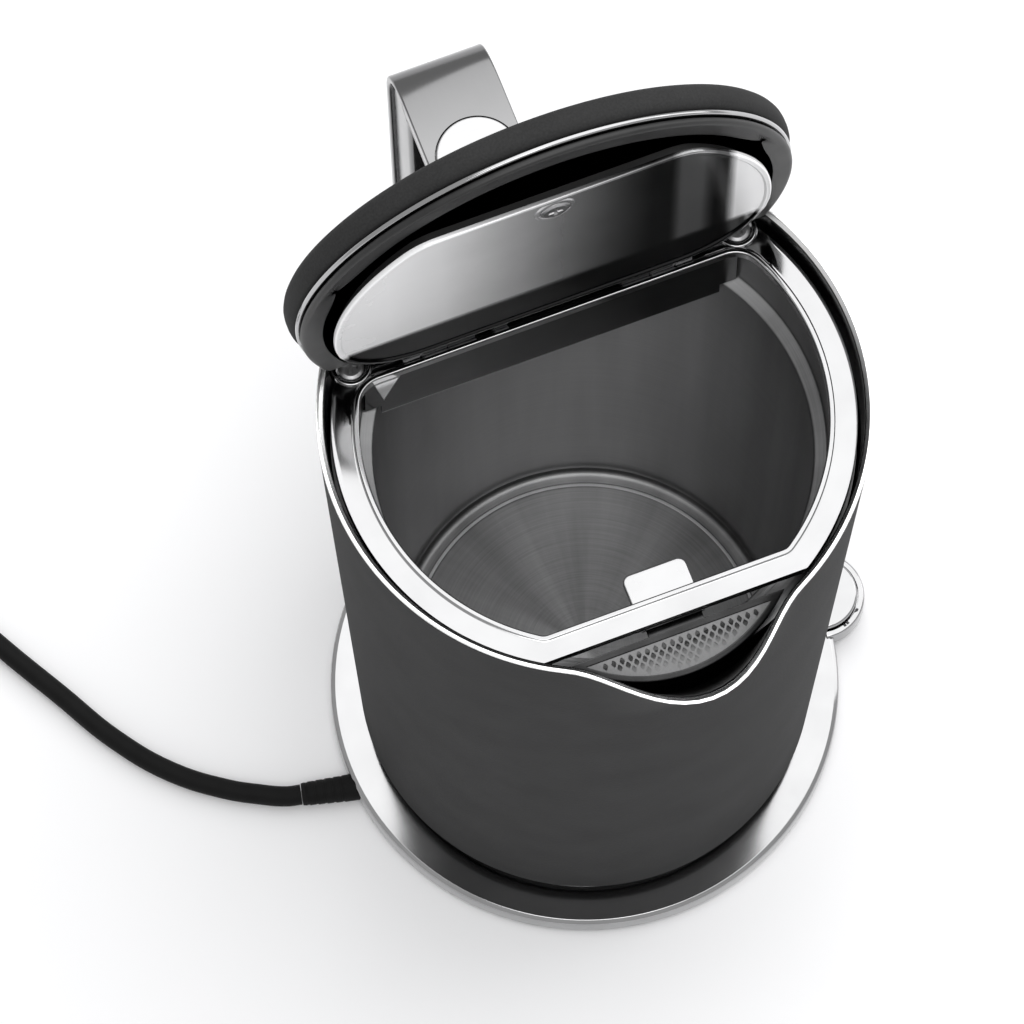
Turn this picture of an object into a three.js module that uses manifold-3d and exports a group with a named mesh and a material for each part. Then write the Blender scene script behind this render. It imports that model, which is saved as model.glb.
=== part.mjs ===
// Electric kettle: a tapered jug on a round cordless base, with the lid standing open.
// Millimetres, +Z up. The origin is on the axis of jug and base, at table level. The spout points
// to -Y and the handle to +Y.
import * as THREE from 'three';
import { mergeVertices } from 'three/addons/utils/BufferGeometryUtils.js';
import Module from 'manifold-3d';

const wasm = await Module();
wasm.setup();

// ---- driving dimensions: clearances and walls ----
const GAP = 0.3; // between pieces that touch
const SLIDE_GAP = 0.5; // round pieces that slide or turn in one another
const SEGMENTS = 44; // facets round the large shapes
const JUG_SEGMENTS = 60; // facets round the shell, whose spout needs them
const SMALL_SEGMENTS = 12; // facets round screws, pins and buttons
const PAST = 300; // further than every piece, for shapes that only cut

// ---- driving dimensions: heights that follow from the cord, which the base has to clear ----
const CORD_RADIUS = 3;
const BASE_EDGE = 2 * CORD_RADIUS + 1; // height of the base's outer edge
const BASE_TOP = BASE_EDGE + 4;
const SHELL_BOTTOM = BASE_TOP + 5.5; // lower edge of the shell, held clear of the base
const LINER_FLOOR = SHELL_BOTTOM + 21.5; // inside floor of the water vessel

// ---- driving dimensions: jug ----
const RIM_HEIGHT = 240; // top edge of the jug's outer shell
const RIM_RADIUS = 75;
const SHELL_TAPER = 9.4; // the shell is this much narrower at its foot
const SHELL_BOTTOM_RADIUS = RIM_RADIUS - SHELL_TAPER;
const SHELL_WALL = 2.2;
const SHELL_TOP_WALL = 1.1; // thinned where the steel band lines it
const BAND_WALL = 0.8; // steel band that lines the mouth and the spout
const BAND_GAP = 0.6; // behind the band
const BAND_DEPTH = 26; // how far the band reaches down
const SPOUT_REACH = 12.9; // how far the spout stands out at the rim
const SPOUT_HALF_ANGLE = THREE.MathUtils.degToRad(27);
const SPOUT_DEPTH = 45; // how far below the rim the spout begins
const LINER_WALL = 1;
const LINER_FLOOR_INSET = 10.4; // vessel's foot inside the shell's
const LINER_FLOOR_RADIUS = SHELL_BOTTOM_RADIUS - LINER_FLOOR_INSET;
const SHOULDER_DEPTH = 31; // below the rim, where the vessel widens
const SHOULDER_STEP = 4; // how much it widens there
const FLANGE_DEPTH = 21.8; // vessel's flange below the rim
const FLANGE_THICKNESS = 1.5;

// ---- driving dimensions: rim ring, screws and hinge ----
const RING_DEPTH = 7.3; // ring's top face below the rim
const RING_THICKNESS = 3;
const RING_CLEARANCE = 0.55; // between the ring and the steel band round it
const RING_SKIRT = 2;
const RING_WIDTH = 7.8; // from its edge to the opening
const OPENING_FRONT_INSET = 10.4; // straight front edge inside the opening's circle
const OPENING_REAR_INSET = 32.1; // and its straight rear edge
const OPENING_FRONT_CORNER = 3.5;
const OPENING_REAR_CORNER = 8;
const BAR_WIDTH = 7.2; // front bar, along Y
const RING_SCREW_INSET = 3.8; // from the ring's edge
const RING_SCREW_TURN = THREE.MathUtils.degToRad(33.7); // from the X axis
const RING_SCREW_HEAD = 3.6;
const HINGE_BEHIND_OPENING = 5.1; // lid's axis behind the opening's rear edge
const HINGE_ABOVE_RING = 1.8;
const HINGE_PIN_RADIUS = 1.5;
const HINGE_ARM_RADIUS = 2.9;
const HINGE_ARM_INNER = 29.4; // lid arm, measured along X
const HINGE_ARM_WIDTH = 7;
const HINGE_LUG_WIDTH = 5;
const HINGE_SPRING_WIDTH = 7.8;
const CAM_X = -14;
const CAM_RADIUS = 3;
const CAM_WIDTH = 4;

// ---- driving dimensions: lid (as it lies when shut) ----
const LID_CLEARANCE = 0.6; // between the shut lid and the jug's mouth
const LID_ABOVE_RIM = 5.5; // cap's top above the rim
const CAP_THICKNESS = 7.9;
const CAP_OVERHANG = 1.1; // the cap's middle part reaches back past the hinge's axis
const TRIM_THICKNESS = 1.5;
const TRIM_INSET = 1.1; // inside the cap's edge
const TRIM_WIDTH = 5.2;
const GASKET_THICKNESS = 2.3;
const GASKET_INSET = 1.7;
const GASKET_WIDTH = 7.2;
const LID_STAND = 0.6; // how far the open lid's straight rear edge stands above the rim
const TONGUE_HALF = 47; // middle part of the cap that reaches back over the hinge
const PAN_CLEARANCE = 1; // inside the opening
const PAN_FRONT_CLEARANCE = 3.4;
const PAN_REAR_CLEARANCE = 1.7;
const PAN_THICKNESS = 1.6;
const PAN_FRONT_CORNER = 14;
const PAN_REAR_CORNER = 26;
const PAN_SCREW_INSET = 7.5; // from the pan's front edge
const PAN_SCREW_HEAD = 1.1; // how far its head stands out below the pan
const CORE_INSET = 3; // the core's edge inside the pan's
const LID_OPEN_ANGLE = Math.PI / 2;

// ---- driving dimensions: filter ----
const FILTER_GAP = 1.4; // in front of the front bar
const FILTER_REACH = 11.9; // from the straight edge to the lowest point of the curved one
const FILTER_HALF_WIDTH = 31;
const FILTER_SLOPE = 0.45; // fall per millimetre towards the spout
const FILTER_THICKNESS = 1.2;
const FILTER_FRAME_WIDTH = 2;
const TAB_WIDTH = 18;
const TAB_REACH = 18.5; // from the filter's straight edge, inwards
const TAB_THICKNESS = 1.6;

// ---- driving dimensions: handle, release button and latch ----
const HANDLE_DROP = 22; // top strip below the rim
const HANDLE_REACH = 49.5; // outer face of the grip beyond the rim's radius, at its top
const HANDLE_LOW_REACH = 42; // and at its lower end
const HANDLE_BOTTOM = 60;
const HANDLE_WIDTH = 27.5;
const HANDLE_BEND = 18; // reach of the rounded corners along each straight
const HANDLE_SKIN = 2.2;
const HANDLE_CORE = 13;
const HANDLE_CORE_INSET = 1; // the core is narrower than the skin by this on each side
const BUTTON_REACH = 12.5; // its middle beyond the rim's radius
const BUTTON_RADIUS = 11.5;
const BUTTON_THICKNESS = 3;
const BUTTON_TRAVEL = 2.5;
const STEM_RADIUS = 2.2;
const LATCH_TRAVEL = 2.5;
const LATCH_WIDTH = 6;
const LATCH_BAR = 4; // height of the latch's bars

// ---- driving dimensions: base and its switch ----
const BASE_MARGIN = 8.6; // beyond the foot of the shell
const BASE_WALL = 2;
const FOOT_HEIGHT = 1.2;
const FOOT_RADIUS = 6;
const FOOT_INSET = 18.2; // middle of each foot from the base's edge
const BASE_SCREW_INSET = 30.2;
const SOCKET_RADIUS = 15;
const SOCKET_TOP = BASE_TOP + 13;
const LOBE_INSET = 0.7; // its middle inside the base's edge
const LOBE_RADIUS = 13.4;
const LOBE_TOP = BASE_EDGE + 1.8;
const SWITCH_RADIUS = 11.2;
const SWITCH_TOP = LOBE_TOP + 2.2;
const SWITCH_TRAVEL = 1.5;

// ---- driving dimensions: cord and plug ----
const CORD_FACETS = 10; // round its section
const CORD_EXIT_Y = -4.9; // where the cord's middle passes the base's wall
const RELIEF_TURN = (12.5 * Math.PI) / 180; // from square with the base's side, towards the handle
const RELIEF_LENGTH = 31;
const RELIEF_WALL = 0.9; // rubber round the cord where it passes the base's wall
const COIL_RADIUS = 36; // middle of the cord in each turn
const COIL_TURNS = 2.5;
const COIL_PITCH = 6.15; // each turn lies on the last
const COIL_ALONG_X = -120.9; // middle of the coil from where the cord leaves its sleeve
const COIL_ALONG_Y = 151.6;
const TAIL_LENGTH = 50; // from the coil to the plug
const PLUG_RADIUS = 18;
const PIN_RADIUS = 2.4;
const PIN_LENGTH = 19;
const PIN_SPACING = 19;

// ---- places and radii that follow from the driving dimensions ----
const BASE_RADIUS = SHELL_BOTTOM_RADIUS + BASE_MARGIN;
const LOBE_X = BASE_RADIUS - LOBE_INSET;
const SHOULDER_HEIGHT = RIM_HEIGHT - SHOULDER_DEPTH;
const HANDLE_TOP = RIM_HEIGHT - HANDLE_DROP;
const HANDLE_BACK_TOP_Y = RIM_RADIUS + HANDLE_REACH;
const HANDLE_BACK_LOW_Y = RIM_RADIUS + HANDLE_LOW_REACH;
const BUTTON_Y = RIM_RADIUS + BUTTON_REACH;
const ringTop = RIM_HEIGHT - RING_DEPTH;
const ringUnder = ringTop - RING_THICKNESS;
const flangeTop = RIM_HEIGHT - FLANGE_DEPTH + FLANGE_THICKNESS;
const hingeZ = ringTop + HINGE_ABOVE_RING;
const bandInset = SHELL_TOP_WALL + BAND_GAP + BAND_WALL;
const bandInner = (z) => shellRadius(z) - bandInset;
const RING_RADIUS = bandInner(flangeTop) - RING_CLEARANCE;
const RING_SCREW_X = (RING_RADIUS - RING_SCREW_INSET) * Math.cos(RING_SCREW_TURN);
const RING_SCREW_Y = (RING_RADIUS - RING_SCREW_INSET) * Math.sin(RING_SCREW_TURN);
const OPENING_RADIUS = RING_RADIUS - RING_WIDTH;
const OPENING_FRONT = OPENING_FRONT_INSET - OPENING_RADIUS;
const OPENING_REAR = OPENING_RADIUS - OPENING_REAR_INSET;
const BAR_FRONT = OPENING_FRONT - BAR_WIDTH;
const THROAT_RADIUS = OPENING_RADIUS + 0.5;
const SHOULDER_RADIUS = THROAT_RADIUS - SHOULDER_STEP;
const HINGE_Y = OPENING_REAR + HINGE_BEHIND_OPENING;
const LID_RADIUS = RIM_RADIUS - bandInset - LID_CLEARANCE;
const LID_REAR = HINGE_Y + hingeZ - RIM_HEIGHT - LID_STAND;
const CAP_REAR = HINGE_Y + CAP_OVERHANG;
const TRIM_RADIUS = LID_RADIUS - TRIM_INSET;
const GASKET_RADIUS = LID_RADIUS - GASKET_INSET;
const PAN_RADIUS = OPENING_RADIUS - PAN_CLEARANCE;
const PAN_FRONT = OPENING_FRONT + PAN_FRONT_CLEARANCE;
const PAN_REAR = OPENING_REAR - PAN_REAR_CLEARANCE;
const PAN_SCREW_Y = PAN_FRONT + PAN_SCREW_INSET;
const FILTER_TOP_Y = BAR_FRONT - FILTER_GAP;
const TAB_END_Y = FILTER_TOP_Y + TAB_REACH;
const capTop = RIM_HEIGHT + LID_ABOVE_RIM;
const capUnder = capTop - CAP_THICKNESS;
const trimTop = capUnder - GAP;
const gasketTop = trimTop - TRIM_THICKNESS - GAP;
const panTop = ringUnder + 0.9;
const panUnder = panTop - PAN_THICKNESS;
const coverUnder = FOOT_HEIGHT + GAP;

// Radius of the shell's outside at a height, away from the spout.
function shellRadius(z) {
  const share = (z - SHELL_BOTTOM) / (RIM_HEIGHT - SHELL_BOTTOM);
  return THREE.MathUtils.lerp(SHELL_BOTTOM_RADIUS, RIM_RADIUS, share);
}

// How far the spout stands out beyond the tapered body, at an angle from -Y and a height.
function spoutBulge(x, y, z) {
  const turn = Math.abs(Math.atan2(x, -y));
  const rise = (z - (RIM_HEIGHT - SPOUT_DEPTH)) / SPOUT_DEPTH;
  if (turn >= SPOUT_HALF_ANGLE || rise <= 0) return 0;
  return SPOUT_REACH * Math.cos((Math.PI / 2) * (turn / SPOUT_HALF_ANGLE)) ** 2 * rise ** 1.6;
}

// ---- geometry helpers ----

// One closed body: shared vertices merged, slivers dropped, faces pointing out.
function closed(source) {
  let geometry = source.clone();
  geometry.deleteAttribute('normal');
  geometry.deleteAttribute('uv');
  geometry = mergeVertices(geometry, 1e-4);
  const position = geometry.attributes.position;
  const index = geometry.index.array;
  const corner = [new THREE.Vector3(), new THREE.Vector3(), new THREE.Vector3()];
  const kept = [];
  let volume = 0;
  for (let i = 0; i < index.length; i += 3) {
    const [a, b, c] = [index[i], index[i + 1], index[i + 2]];
    if (a === b || b === c || c === a) continue;
    kept.push(a, b, c);
    corner[0].fromBufferAttribute(position, a);
    corner[1].fromBufferAttribute(position, b);
    corner[2].fromBufferAttribute(position, c);
    volume += corner[0].dot(corner[1].cross(corner[2]));
  }
  if (volume < 0) kept.reverse();
  geometry.setIndex(kept);
  return geometry;
}

function toSolid(geometry) {
  const body = closed(geometry);
  const vertProperties = new Float32Array(body.attributes.position.array);
  const triVerts = new Uint32Array(body.index.array);
  return new wasm.Manifold(new wasm.Mesh({ numProp: 3, vertProperties, triVerts }));
}

function toGeometry(solid) {
  const mesh = solid.getMesh();
  const geometry = new THREE.BufferGeometry();
  geometry.setAttribute('position', new THREE.BufferAttribute(mesh.vertProperties, 3));
  geometry.setIndex(new THREE.BufferAttribute(mesh.triVerts, 1));
  return geometry;
}

// A piece made of several shapes joined, with others cut out of it.
function carve(joined, removed = []) {
  let solid = toSolid(joined[0]);
  for (const extra of joined.slice(1)) solid = solid.add(toSolid(extra));
  for (const hole of removed) solid = solid.subtract(toSolid(hole));
  return toGeometry(solid);
}

// Turns a profile of [radius, height] points about Z. The profile closes on itself or on the axis.
function turned(profile, segments = SEGMENTS) {
  const points = profile.map(([r, z]) => new THREE.Vector2(r, z));
  const onAxis = profile[0][0] === 0 && profile[profile.length - 1][0] === 0;
  if (!onAxis) points.push(points[0].clone());
  return new THREE.LatheGeometry(points, segments).rotateX(Math.PI / 2);
}

function ringBetween(inner, outer, low, high, segments = SEGMENTS) {
  return turned([[inner, low], [outer, low], [outer, high], [inner, high]], segments);
}

function box(x0, x1, y0, y1, z0, z1) {
  const shape = new THREE.BoxGeometry(x1 - x0, y1 - y0, z1 - z0);
  return shape.translate((x0 + x1) / 2, (y0 + y1) / 2, (z0 + z1) / 2);
}

function rod(axis, radius, from, to, [a, b], segments = SMALL_SEGMENTS) {
  const middle = (from + to) / 2;
  const shape = new THREE.CylinderGeometry(radius, radius, to - from, segments);
  if (axis === 'x') return shape.rotateZ(Math.PI / 2).translate(middle, a, b);
  if (axis === 'y') return shape.translate(a, middle, b);
  return shape.rotateX(Math.PI / 2).translate(a, b, middle);
}

// The same outline with its points spaced out, so that a small corner isn't finer than a large arc.
function spaced(shape, divisions = 22, spacing = 2.2) {
  const kept = [];
  for (const point of shape.getPoints(divisions)) {
    const last = kept[kept.length - 1];
    if (!last || point.distanceTo(last) > spacing) kept.push(point);
  }
  if (kept[0].distanceTo(kept[kept.length - 1]) < spacing) kept.pop();
  return new THREE.Shape(kept);
}

// Disc with one or two straight edges, its corners rounded: the jug's mouth, the lid's layers.
function doubleD(radius, front, rear, frontCorner = 0, rearCorner = 0) {
  const corner = (edge, round) => {
    const x = Math.sqrt((radius - round) ** 2 - (Math.abs(edge) - round) ** 2);
    return { x, y: Math.sign(edge) * (Math.abs(edge) - round), round };
  };
  const shape = new THREE.Shape();
  const back = corner(rear, rearCorner);
  const backTurn = Math.atan2(back.y, back.x);
  const nearTop = Math.PI / 2;
  if (front === null) {
    shape.absarc(0, 0, radius, Math.PI - backTurn, 2 * Math.PI + backTurn, false);
    if (rearCorner > 0) {
      shape.absarc(back.x, back.y, rearCorner, backTurn, nearTop, false);
      shape.absarc(-back.x, back.y, rearCorner, nearTop, Math.PI - backTurn, false);
    }
    return spaced(shape);
  }
  const nose = corner(front, frontCorner);
  const noseTurn = Math.atan2(nose.y, nose.x);
  shape.absarc(0, 0, radius, noseTurn, backTurn, false);
  shape.absarc(back.x, back.y, rearCorner, backTurn, nearTop, false);
  shape.absarc(-back.x, back.y, rearCorner, nearTop, Math.PI - backTurn, false);
  shape.absarc(0, 0, radius, Math.PI - backTurn, Math.PI - noseTurn, false);
  shape.absarc(-nose.x, nose.y, frontCorner, Math.PI - noseTurn, 1.5 * Math.PI, false);
  shape.absarc(nose.x, nose.y, frontCorner, 1.5 * Math.PI, 2 * Math.PI + noseTurn, false);
  return spaced(shape);
}

// Plate of a flat outline between two heights, its edges rounded by bevel.
function plate(shape, low, high, bevel = 0, curveSegments = 24) {
  const settings = {
    depth: high - low - 2 * bevel,
    curveSegments,
    bevelEnabled: bevel > 0,
    bevelThickness: bevel,
    bevelSize: bevel,
    bevelOffset: -bevel,
    bevelSegments: bevel > 1 ? 2 : 1,
  };
  return new THREE.ExtrudeGeometry(shape, settings).translate(0, 0, low + bevel);
}

// Moves the wall of a turned piece outwards to form the spout.
function pushSpout(geometry, fromRadius) {
  const position = geometry.attributes.position;
  for (let i = 0; i < position.count; i += 1) {
    const [x, y, z] = [position.getX(i), position.getY(i), position.getZ(i)];
    const radius = Math.hypot(x, y);
    if (radius < fromRadius) continue;
    const scale = 1 + spoutBulge(x, y, z) / radius;
    position.setXY(i, x * scale, y * scale);
  }
  return geometry;
}

// ---- materials ----
function finish(color, roughness, metalness) {
  return new THREE.MeshStandardMaterial({ color, roughness, metalness });
}

const softTouch = finish(0x2b2b2c, 0.85, 0);
const blackPlastic = finish(0x151516, 0.4, 0);
const rubber = finish(0x101011, 0.75, 0);
const polishedSteel = finish(0xd9d9da, 0.12, 1);
const brushedSteel = finish(0xa9aaab, 0.32, 1);
const chrome = finish(0xe8e8ea, 0.06, 1);
const brass = finish(0xc9a85a, 0.3, 1);
const aluminium = finish(0xb5b5b8, 0.45, 1);

const kettle = new THREE.Group();
const base = new THREE.Group();
const jug = new THREE.Group();
const lid = new THREE.Group();
kettle.add(base, jug, lid);

function part(group, name, geometry, material) {
  const mesh = new THREE.Mesh(closed(geometry), material);
  mesh.geometry.computeVertexNormals();
  mesh.name = name;
  group.add(mesh);
  return mesh;
}

// Pan-head screw along an axis, its head towards the low end. `at` is the other two coordinates.
function screw(axis, headRadius, shankRadius, headFrom, headTo, shankTo, at) {
  const head = rod(axis, headRadius, Math.min(headFrom, headTo), Math.max(headFrom, headTo), at);
  const overlap = (headFrom + headTo) / 2;
  const shank = rod(axis, shankRadius, Math.min(overlap, shankTo), Math.max(overlap, shankTo), at);
  return carve([head, shank]);
}

// ================= base =================
const lobeAt = [LOBE_X, 0];
const reliefHeight = CORD_RADIUS + 0.1;
const reliefInner = -BASE_RADIUS + 16;
const reliefOuter = reliefInner - RELIEF_LENGTH;
const sleeveOutside = -BASE_RADIUS - reliefOuter + GAP;
const cordStartX = -BASE_RADIUS - sleeveOutside * Math.cos(RELIEF_TURN);
const cordStartY = CORD_EXIT_Y + sleeveOutside * Math.sin(RELIEF_TURN);
const COIL_X = cordStartX + COIL_ALONG_X;
const COIL_Y = cordStartY + COIL_ALONG_Y;
const socketFlange = SOCKET_RADIUS + 5;
const baseCeiling = BASE_TOP - BASE_WALL;

function aroundAxis(count, circle, first) {
  return Array.from({ length: count }, (_, i) => {
    const turn = first + (2 * Math.PI * i) / count;
    return [circle * Math.cos(turn), circle * Math.sin(turn)];
  });
}

const footPlaces = aroundAxis(4, BASE_RADIUS - FOOT_INSET, Math.PI / 4);
const baseScrewPlaces = aroundAxis(3, BASE_RADIUS - BASE_SCREW_INSET, Math.PI / 2);
const SCREW_SHANK = 1.5;
const SCREW_HEAD = 3.2;
const COVER_THICKNESS = 2;
const coverTop = coverUnder + COVER_THICKNESS;

function baseTopShell() {
  const wallIn = BASE_RADIUS - BASE_WALL;
  const skin = turned([
    [BASE_RADIUS, coverUnder + GAP],
    [BASE_RADIUS, BASE_EDGE - 0.8],
    [BASE_RADIUS - 0.8, BASE_EDGE],
    [BASE_RADIUS - 3, BASE_EDGE + 1],
    [BASE_RADIUS - 8, BASE_TOP - 1],
    [BASE_RADIUS - 14, BASE_TOP],
    [SOCKET_RADIUS + SLIDE_GAP, BASE_TOP],
    [SOCKET_RADIUS + SLIDE_GAP, baseCeiling],
    [BASE_RADIUS - 14, baseCeiling],
    [BASE_RADIUS - 9, baseCeiling - 1.5],
    [wallIn, BASE_EDGE - 2.2],
    [wallIn, coverUnder + GAP],
  ]);
  const lobe = rod('z', LOBE_RADIUS, coverUnder + GAP, LOBE_TOP, lobeAt, 40);
  const bosses = baseScrewPlaces.map((at) => rod('z', 4, coverTop + GAP, baseCeiling + 0.5, at));
  const holes = baseScrewPlaces.map((at) => rod('z', SCREW_SHANK + GAP, 0, baseCeiling - 0.6, at));
  const switchWell = rod('z', SWITCH_RADIUS + SLIDE_GAP, coverUnder + 1.6, LOBE_TOP + 9, lobeAt, 40);
  const exitRadius = CORD_RADIUS + RELIEF_WALL + GAP;
  const exit = rod('x', exitRadius, -BASE_RADIUS - 3, -BASE_RADIUS + 9, [CORD_EXIT_Y, reliefHeight]);
  return carve([skin, lobe, ...bosses], [...holes, switchWell, aslant(exit)]);
}

function baseLowerCover() {
  const disc = rod('z', BASE_RADIUS - BASE_WALL - GAP, coverUnder, coverTop, [0, 0], SEGMENTS);
  const holes = baseScrewPlaces.map((at) => rod('z', SCREW_HEAD + GAP, coverUnder - 1, coverTop + 1, at));
  const lobeSide = rod('z', LOBE_RADIUS + GAP, coverUnder - 1, coverTop + 1, lobeAt, 40);
  const exitRadius = CORD_RADIUS + RELIEF_WALL + 1.4;
  const exit = rod('x', exitRadius, -BASE_RADIUS - 3, reliefInner + 1, [CORD_EXIT_Y, reliefHeight]);
  return carve([disc], [...holes, lobeSide, aslant(exit)]);
}

function connectorSocket() {
  const column = turned([
    [0, baseCeiling - 4],
    [socketFlange, baseCeiling - 4],
    [socketFlange, baseCeiling - GAP],
    [SOCKET_RADIUS, baseCeiling - GAP],
    [SOCKET_RADIUS, SOCKET_TOP - 1],
    [SOCKET_RADIUS - 1, SOCKET_TOP],
    [10.5, SOCKET_TOP],
    [10.5, SOCKET_TOP - 8],
    [8.5, SOCKET_TOP - 8],
    [8.5, SOCKET_TOP],
    [3, SOCKET_TOP],
    [3, SOCKET_TOP - 10],
    [0, SOCKET_TOP - 10],
  ], 28);
  return column;
}

part(base, 'base_top_shell', baseTopShell(), chrome);
part(base, 'base_lower_cover', baseLowerCover(), blackPlastic);
part(base, 'base_connector_socket', connectorSocket(), blackPlastic);
footPlaces.forEach((at, i) => {
  part(base, `base_foot_${i + 1}`, rod('z', FOOT_RADIUS, 0, FOOT_HEIGHT, at), rubber);
});
baseScrewPlaces.forEach((at, i) => {
  const piece = screw('z', SCREW_HEAD, SCREW_SHANK, coverUnder + 0.3, coverTop, baseCeiling - 1.5, at);
  part(base, `base_screw_${i + 1}`, piece, aluminium);
});

const switchFloor = coverUnder + 1.6;
const switchShape = new THREE.Shape().absarc(0, 0, SWITCH_RADIUS, 0, 2 * Math.PI, false);
const switchUnder = switchFloor + SWITCH_TRAVEL + GAP;
const switchDisc = plate(switchShape, switchUnder, SWITCH_TOP, 0.8, 14).translate(LOBE_X, 0, 0);
part(base, 'power_button', switchDisc, chrome);

// Turns what the cord passes through about the point where it passes the base's wall.
function aslant(shape) {
  const centred = shape.translate(BASE_RADIUS, -CORD_EXIT_Y, 0);
  return centred.rotateZ(-RELIEF_TURN).translate(-BASE_RADIUS, CORD_EXIT_Y, 0);
}

// ================= cord and plug =================
function strainRelief() {
  const wall = CORD_RADIUS + RELIEF_WALL;
  const profile = [
    [0, reliefInner],
    [wall + 1, reliefInner],
    [wall + 1, reliefInner - 2],
    [wall, reliefInner - 2],
    [wall, -BASE_RADIUS - 1],
    [CORD_RADIUS + 0.35, reliefOuter],
    [0, reliefOuter],
  ];
  const along = turned(profile, SMALL_SEGMENTS).rotateY(Math.PI / 2);
  const placed = along.translate(0, CORD_EXIT_Y, reliefHeight);
  return carve([aslant(placed)], [box(-PAST, PAST, -PAST, PAST, -20, 0.05)]);
}

// Round section swept along a smooth curve through hand-picked points.
function cordTube(points, steps) {
  const corners = points.map((p) => new THREE.Vector3(...p));
  const curve = new THREE.CatmullRomCurve3(corners, false, 'centripetal');
  const section = new THREE.Shape().absarc(0, 0, CORD_RADIUS, 0, 2 * Math.PI, false);
  const settings = { steps, extrudePath: curve, curveSegments: CORD_FACETS / 2, bevelEnabled: false };
  return new THREE.ExtrudeGeometry(section, settings);
}

// The turns begin and end where the coil's ring comes clear of the straight run beside it.
const coilHalf = CORD_RADIUS + 0.4;
const coilLeave = Math.sqrt((COIL_RADIUS + coilHalf) ** 2 - (COIL_RADIUS - CORD_RADIUS) ** 2) + 2 * GAP;

// The free run along the table, from the strain relief to the coil's first turn.
const cordRun = [
  [0, 0],
  [-4, 0.95],
  [-12.2, 4.9],
  [-19.4, 9.1],
  [-32.8, 19.9],
  [-44.6, 34.9],
  [-55.1, 53.9],
  [-65.6, 72.9],
  [-74.8, 91.5],
  [-81, 110],
  [COIL_ALONG_X + COIL_RADIUS, COIL_ALONG_Y - coilLeave],
];
const cordRoute = cordRun.map(([x, y]) => [cordStartX + x, cordStartY + y, reliefHeight]);
part(base, 'strain_relief', strainRelief(), rubber);
part(base, 'power_cord', cordTube(cordRoute, 18), rubber);

// The coil's turns lie on one another; its solid is the ring that they fill.
const coilHeight = COIL_TURNS * COIL_PITCH + 2 * CORD_RADIUS + 0.2;
const coil = ringBetween(COIL_RADIUS - coilHalf, COIL_RADIUS + coilHalf, 0, coilHeight, 36);
part(base, 'cord_coil', coil.translate(COIL_X, COIL_Y, 0), rubber);

// The tail leaves the top turn on the far side and runs level to the plug, which lies on its side.
const tailHeight = reliefHeight + COIL_TURNS * COIL_PITCH;
const tailX = COIL_X - COIL_RADIUS;
const tailStart = COIL_Y - coilLeave;
const plugEntry = tailStart - TAIL_LENGTH;
const tail = rod('y', CORD_RADIUS, plugEntry + GAP, tailStart, [tailX, tailHeight], 10);
part(base, 'cord_tail', tail, rubber);

const plugFace = plugEntry - 46;
const plugProfile = [
  [0, plugEntry],
  [CORD_RADIUS + 0.8, plugEntry],
  [5.4, plugEntry - 14],
  [11, plugEntry - 18],
  [12.5, plugEntry - 26],
  [PLUG_RADIUS - 2, plugEntry - 32],
  [PLUG_RADIUS, plugEntry - 34],
  [PLUG_RADIUS, plugFace + 1],
  [PLUG_RADIUS - 1, plugFace],
  [0, plugFace],
];
const alongY = ([r, y]) => [r, -y];
const plugLathe = turned(plugProfile.map(alongY), 24).rotateX(Math.PI / 2);
const plugBody = plugLathe.translate(tailX, 0, tailHeight);
const pinPlaces = [-PIN_SPACING / 2, PIN_SPACING / 2].map((x) => [tailX + x, tailHeight]);
const pinHoles = pinPlaces.map((at) => rod('y', PIN_RADIUS + GAP, plugFace - 1, plugFace + 8, at));
part(base, 'plug_body', carve([plugBody], pinHoles), rubber);
pinPlaces.forEach((at, i) => {
  const pin = rod('y', PIN_RADIUS, plugFace - PIN_LENGTH, plugFace + 8 - GAP, at);
  part(base, `plug_pin_${i + 1}`, pin, brass);
});

// ================= jug: shell, band, vessel =================
const bandBottom = RIM_HEIGHT - BAND_DEPTH;
const lipUnder = RIM_HEIGHT - 0.5;
const shellTop = lipUnder - GAP;
const spoutLevels = [0, 0.4, 0.7, 1];
const levelsBetween = (low, high) => spoutLevels.map((share) => THREE.MathUtils.lerp(low, high, share));

const throughShellX = LATCH_WIDTH / 2 + 0.6;
const latchLow = HANDLE_TOP - HANDLE_SKIN - GAP - HANDLE_CORE + 1.5;
const upperScrewX = 9;
const upperScrewZ = latchLow + 5.6;
const lowerScrewZ = HANDLE_BOTTOM + HANDLE_SKIN + HANDLE_CORE / 2;
const handleScrewPlaces = [[-upperScrewX, upperScrewZ], [upperScrewX, upperScrewZ], [0, lowerScrewZ]];

function outerShell() {
  const outside = [SHELL_BOTTOM, ...levelsBetween(RIM_HEIGHT - SPOUT_DEPTH, shellTop)];
  const lining = [bandBottom - GAP, ...levelsBetween(bandBottom, shellTop)].reverse();
  const wallAt = [bandBottom - 3, RIM_HEIGHT - SPOUT_DEPTH, SHELL_BOTTOM];
  const body = turned([
    ...outside.map((z) => [shellRadius(z), z]),
    ...lining.map((z) => [shellRadius(z) - SHELL_TOP_WALL, z]),
    ...wallAt.map((z) => [shellRadius(z) - SHELL_WALL, z]),
  ], JUG_SEGMENTS);
  const holes = handleScrewPlaces.map((at) => rod('y', SCREW_SHANK + GAP, 0, PAST, at));
  const slot = box(-throughShellX, throughShellX, 0, PAST, latchLow - 0.6, latchLow + LATCH_BAR + 0.6);
  return carve([pushSpout(body, THROAT_RADIUS)], [...holes, slot]);
}

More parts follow.
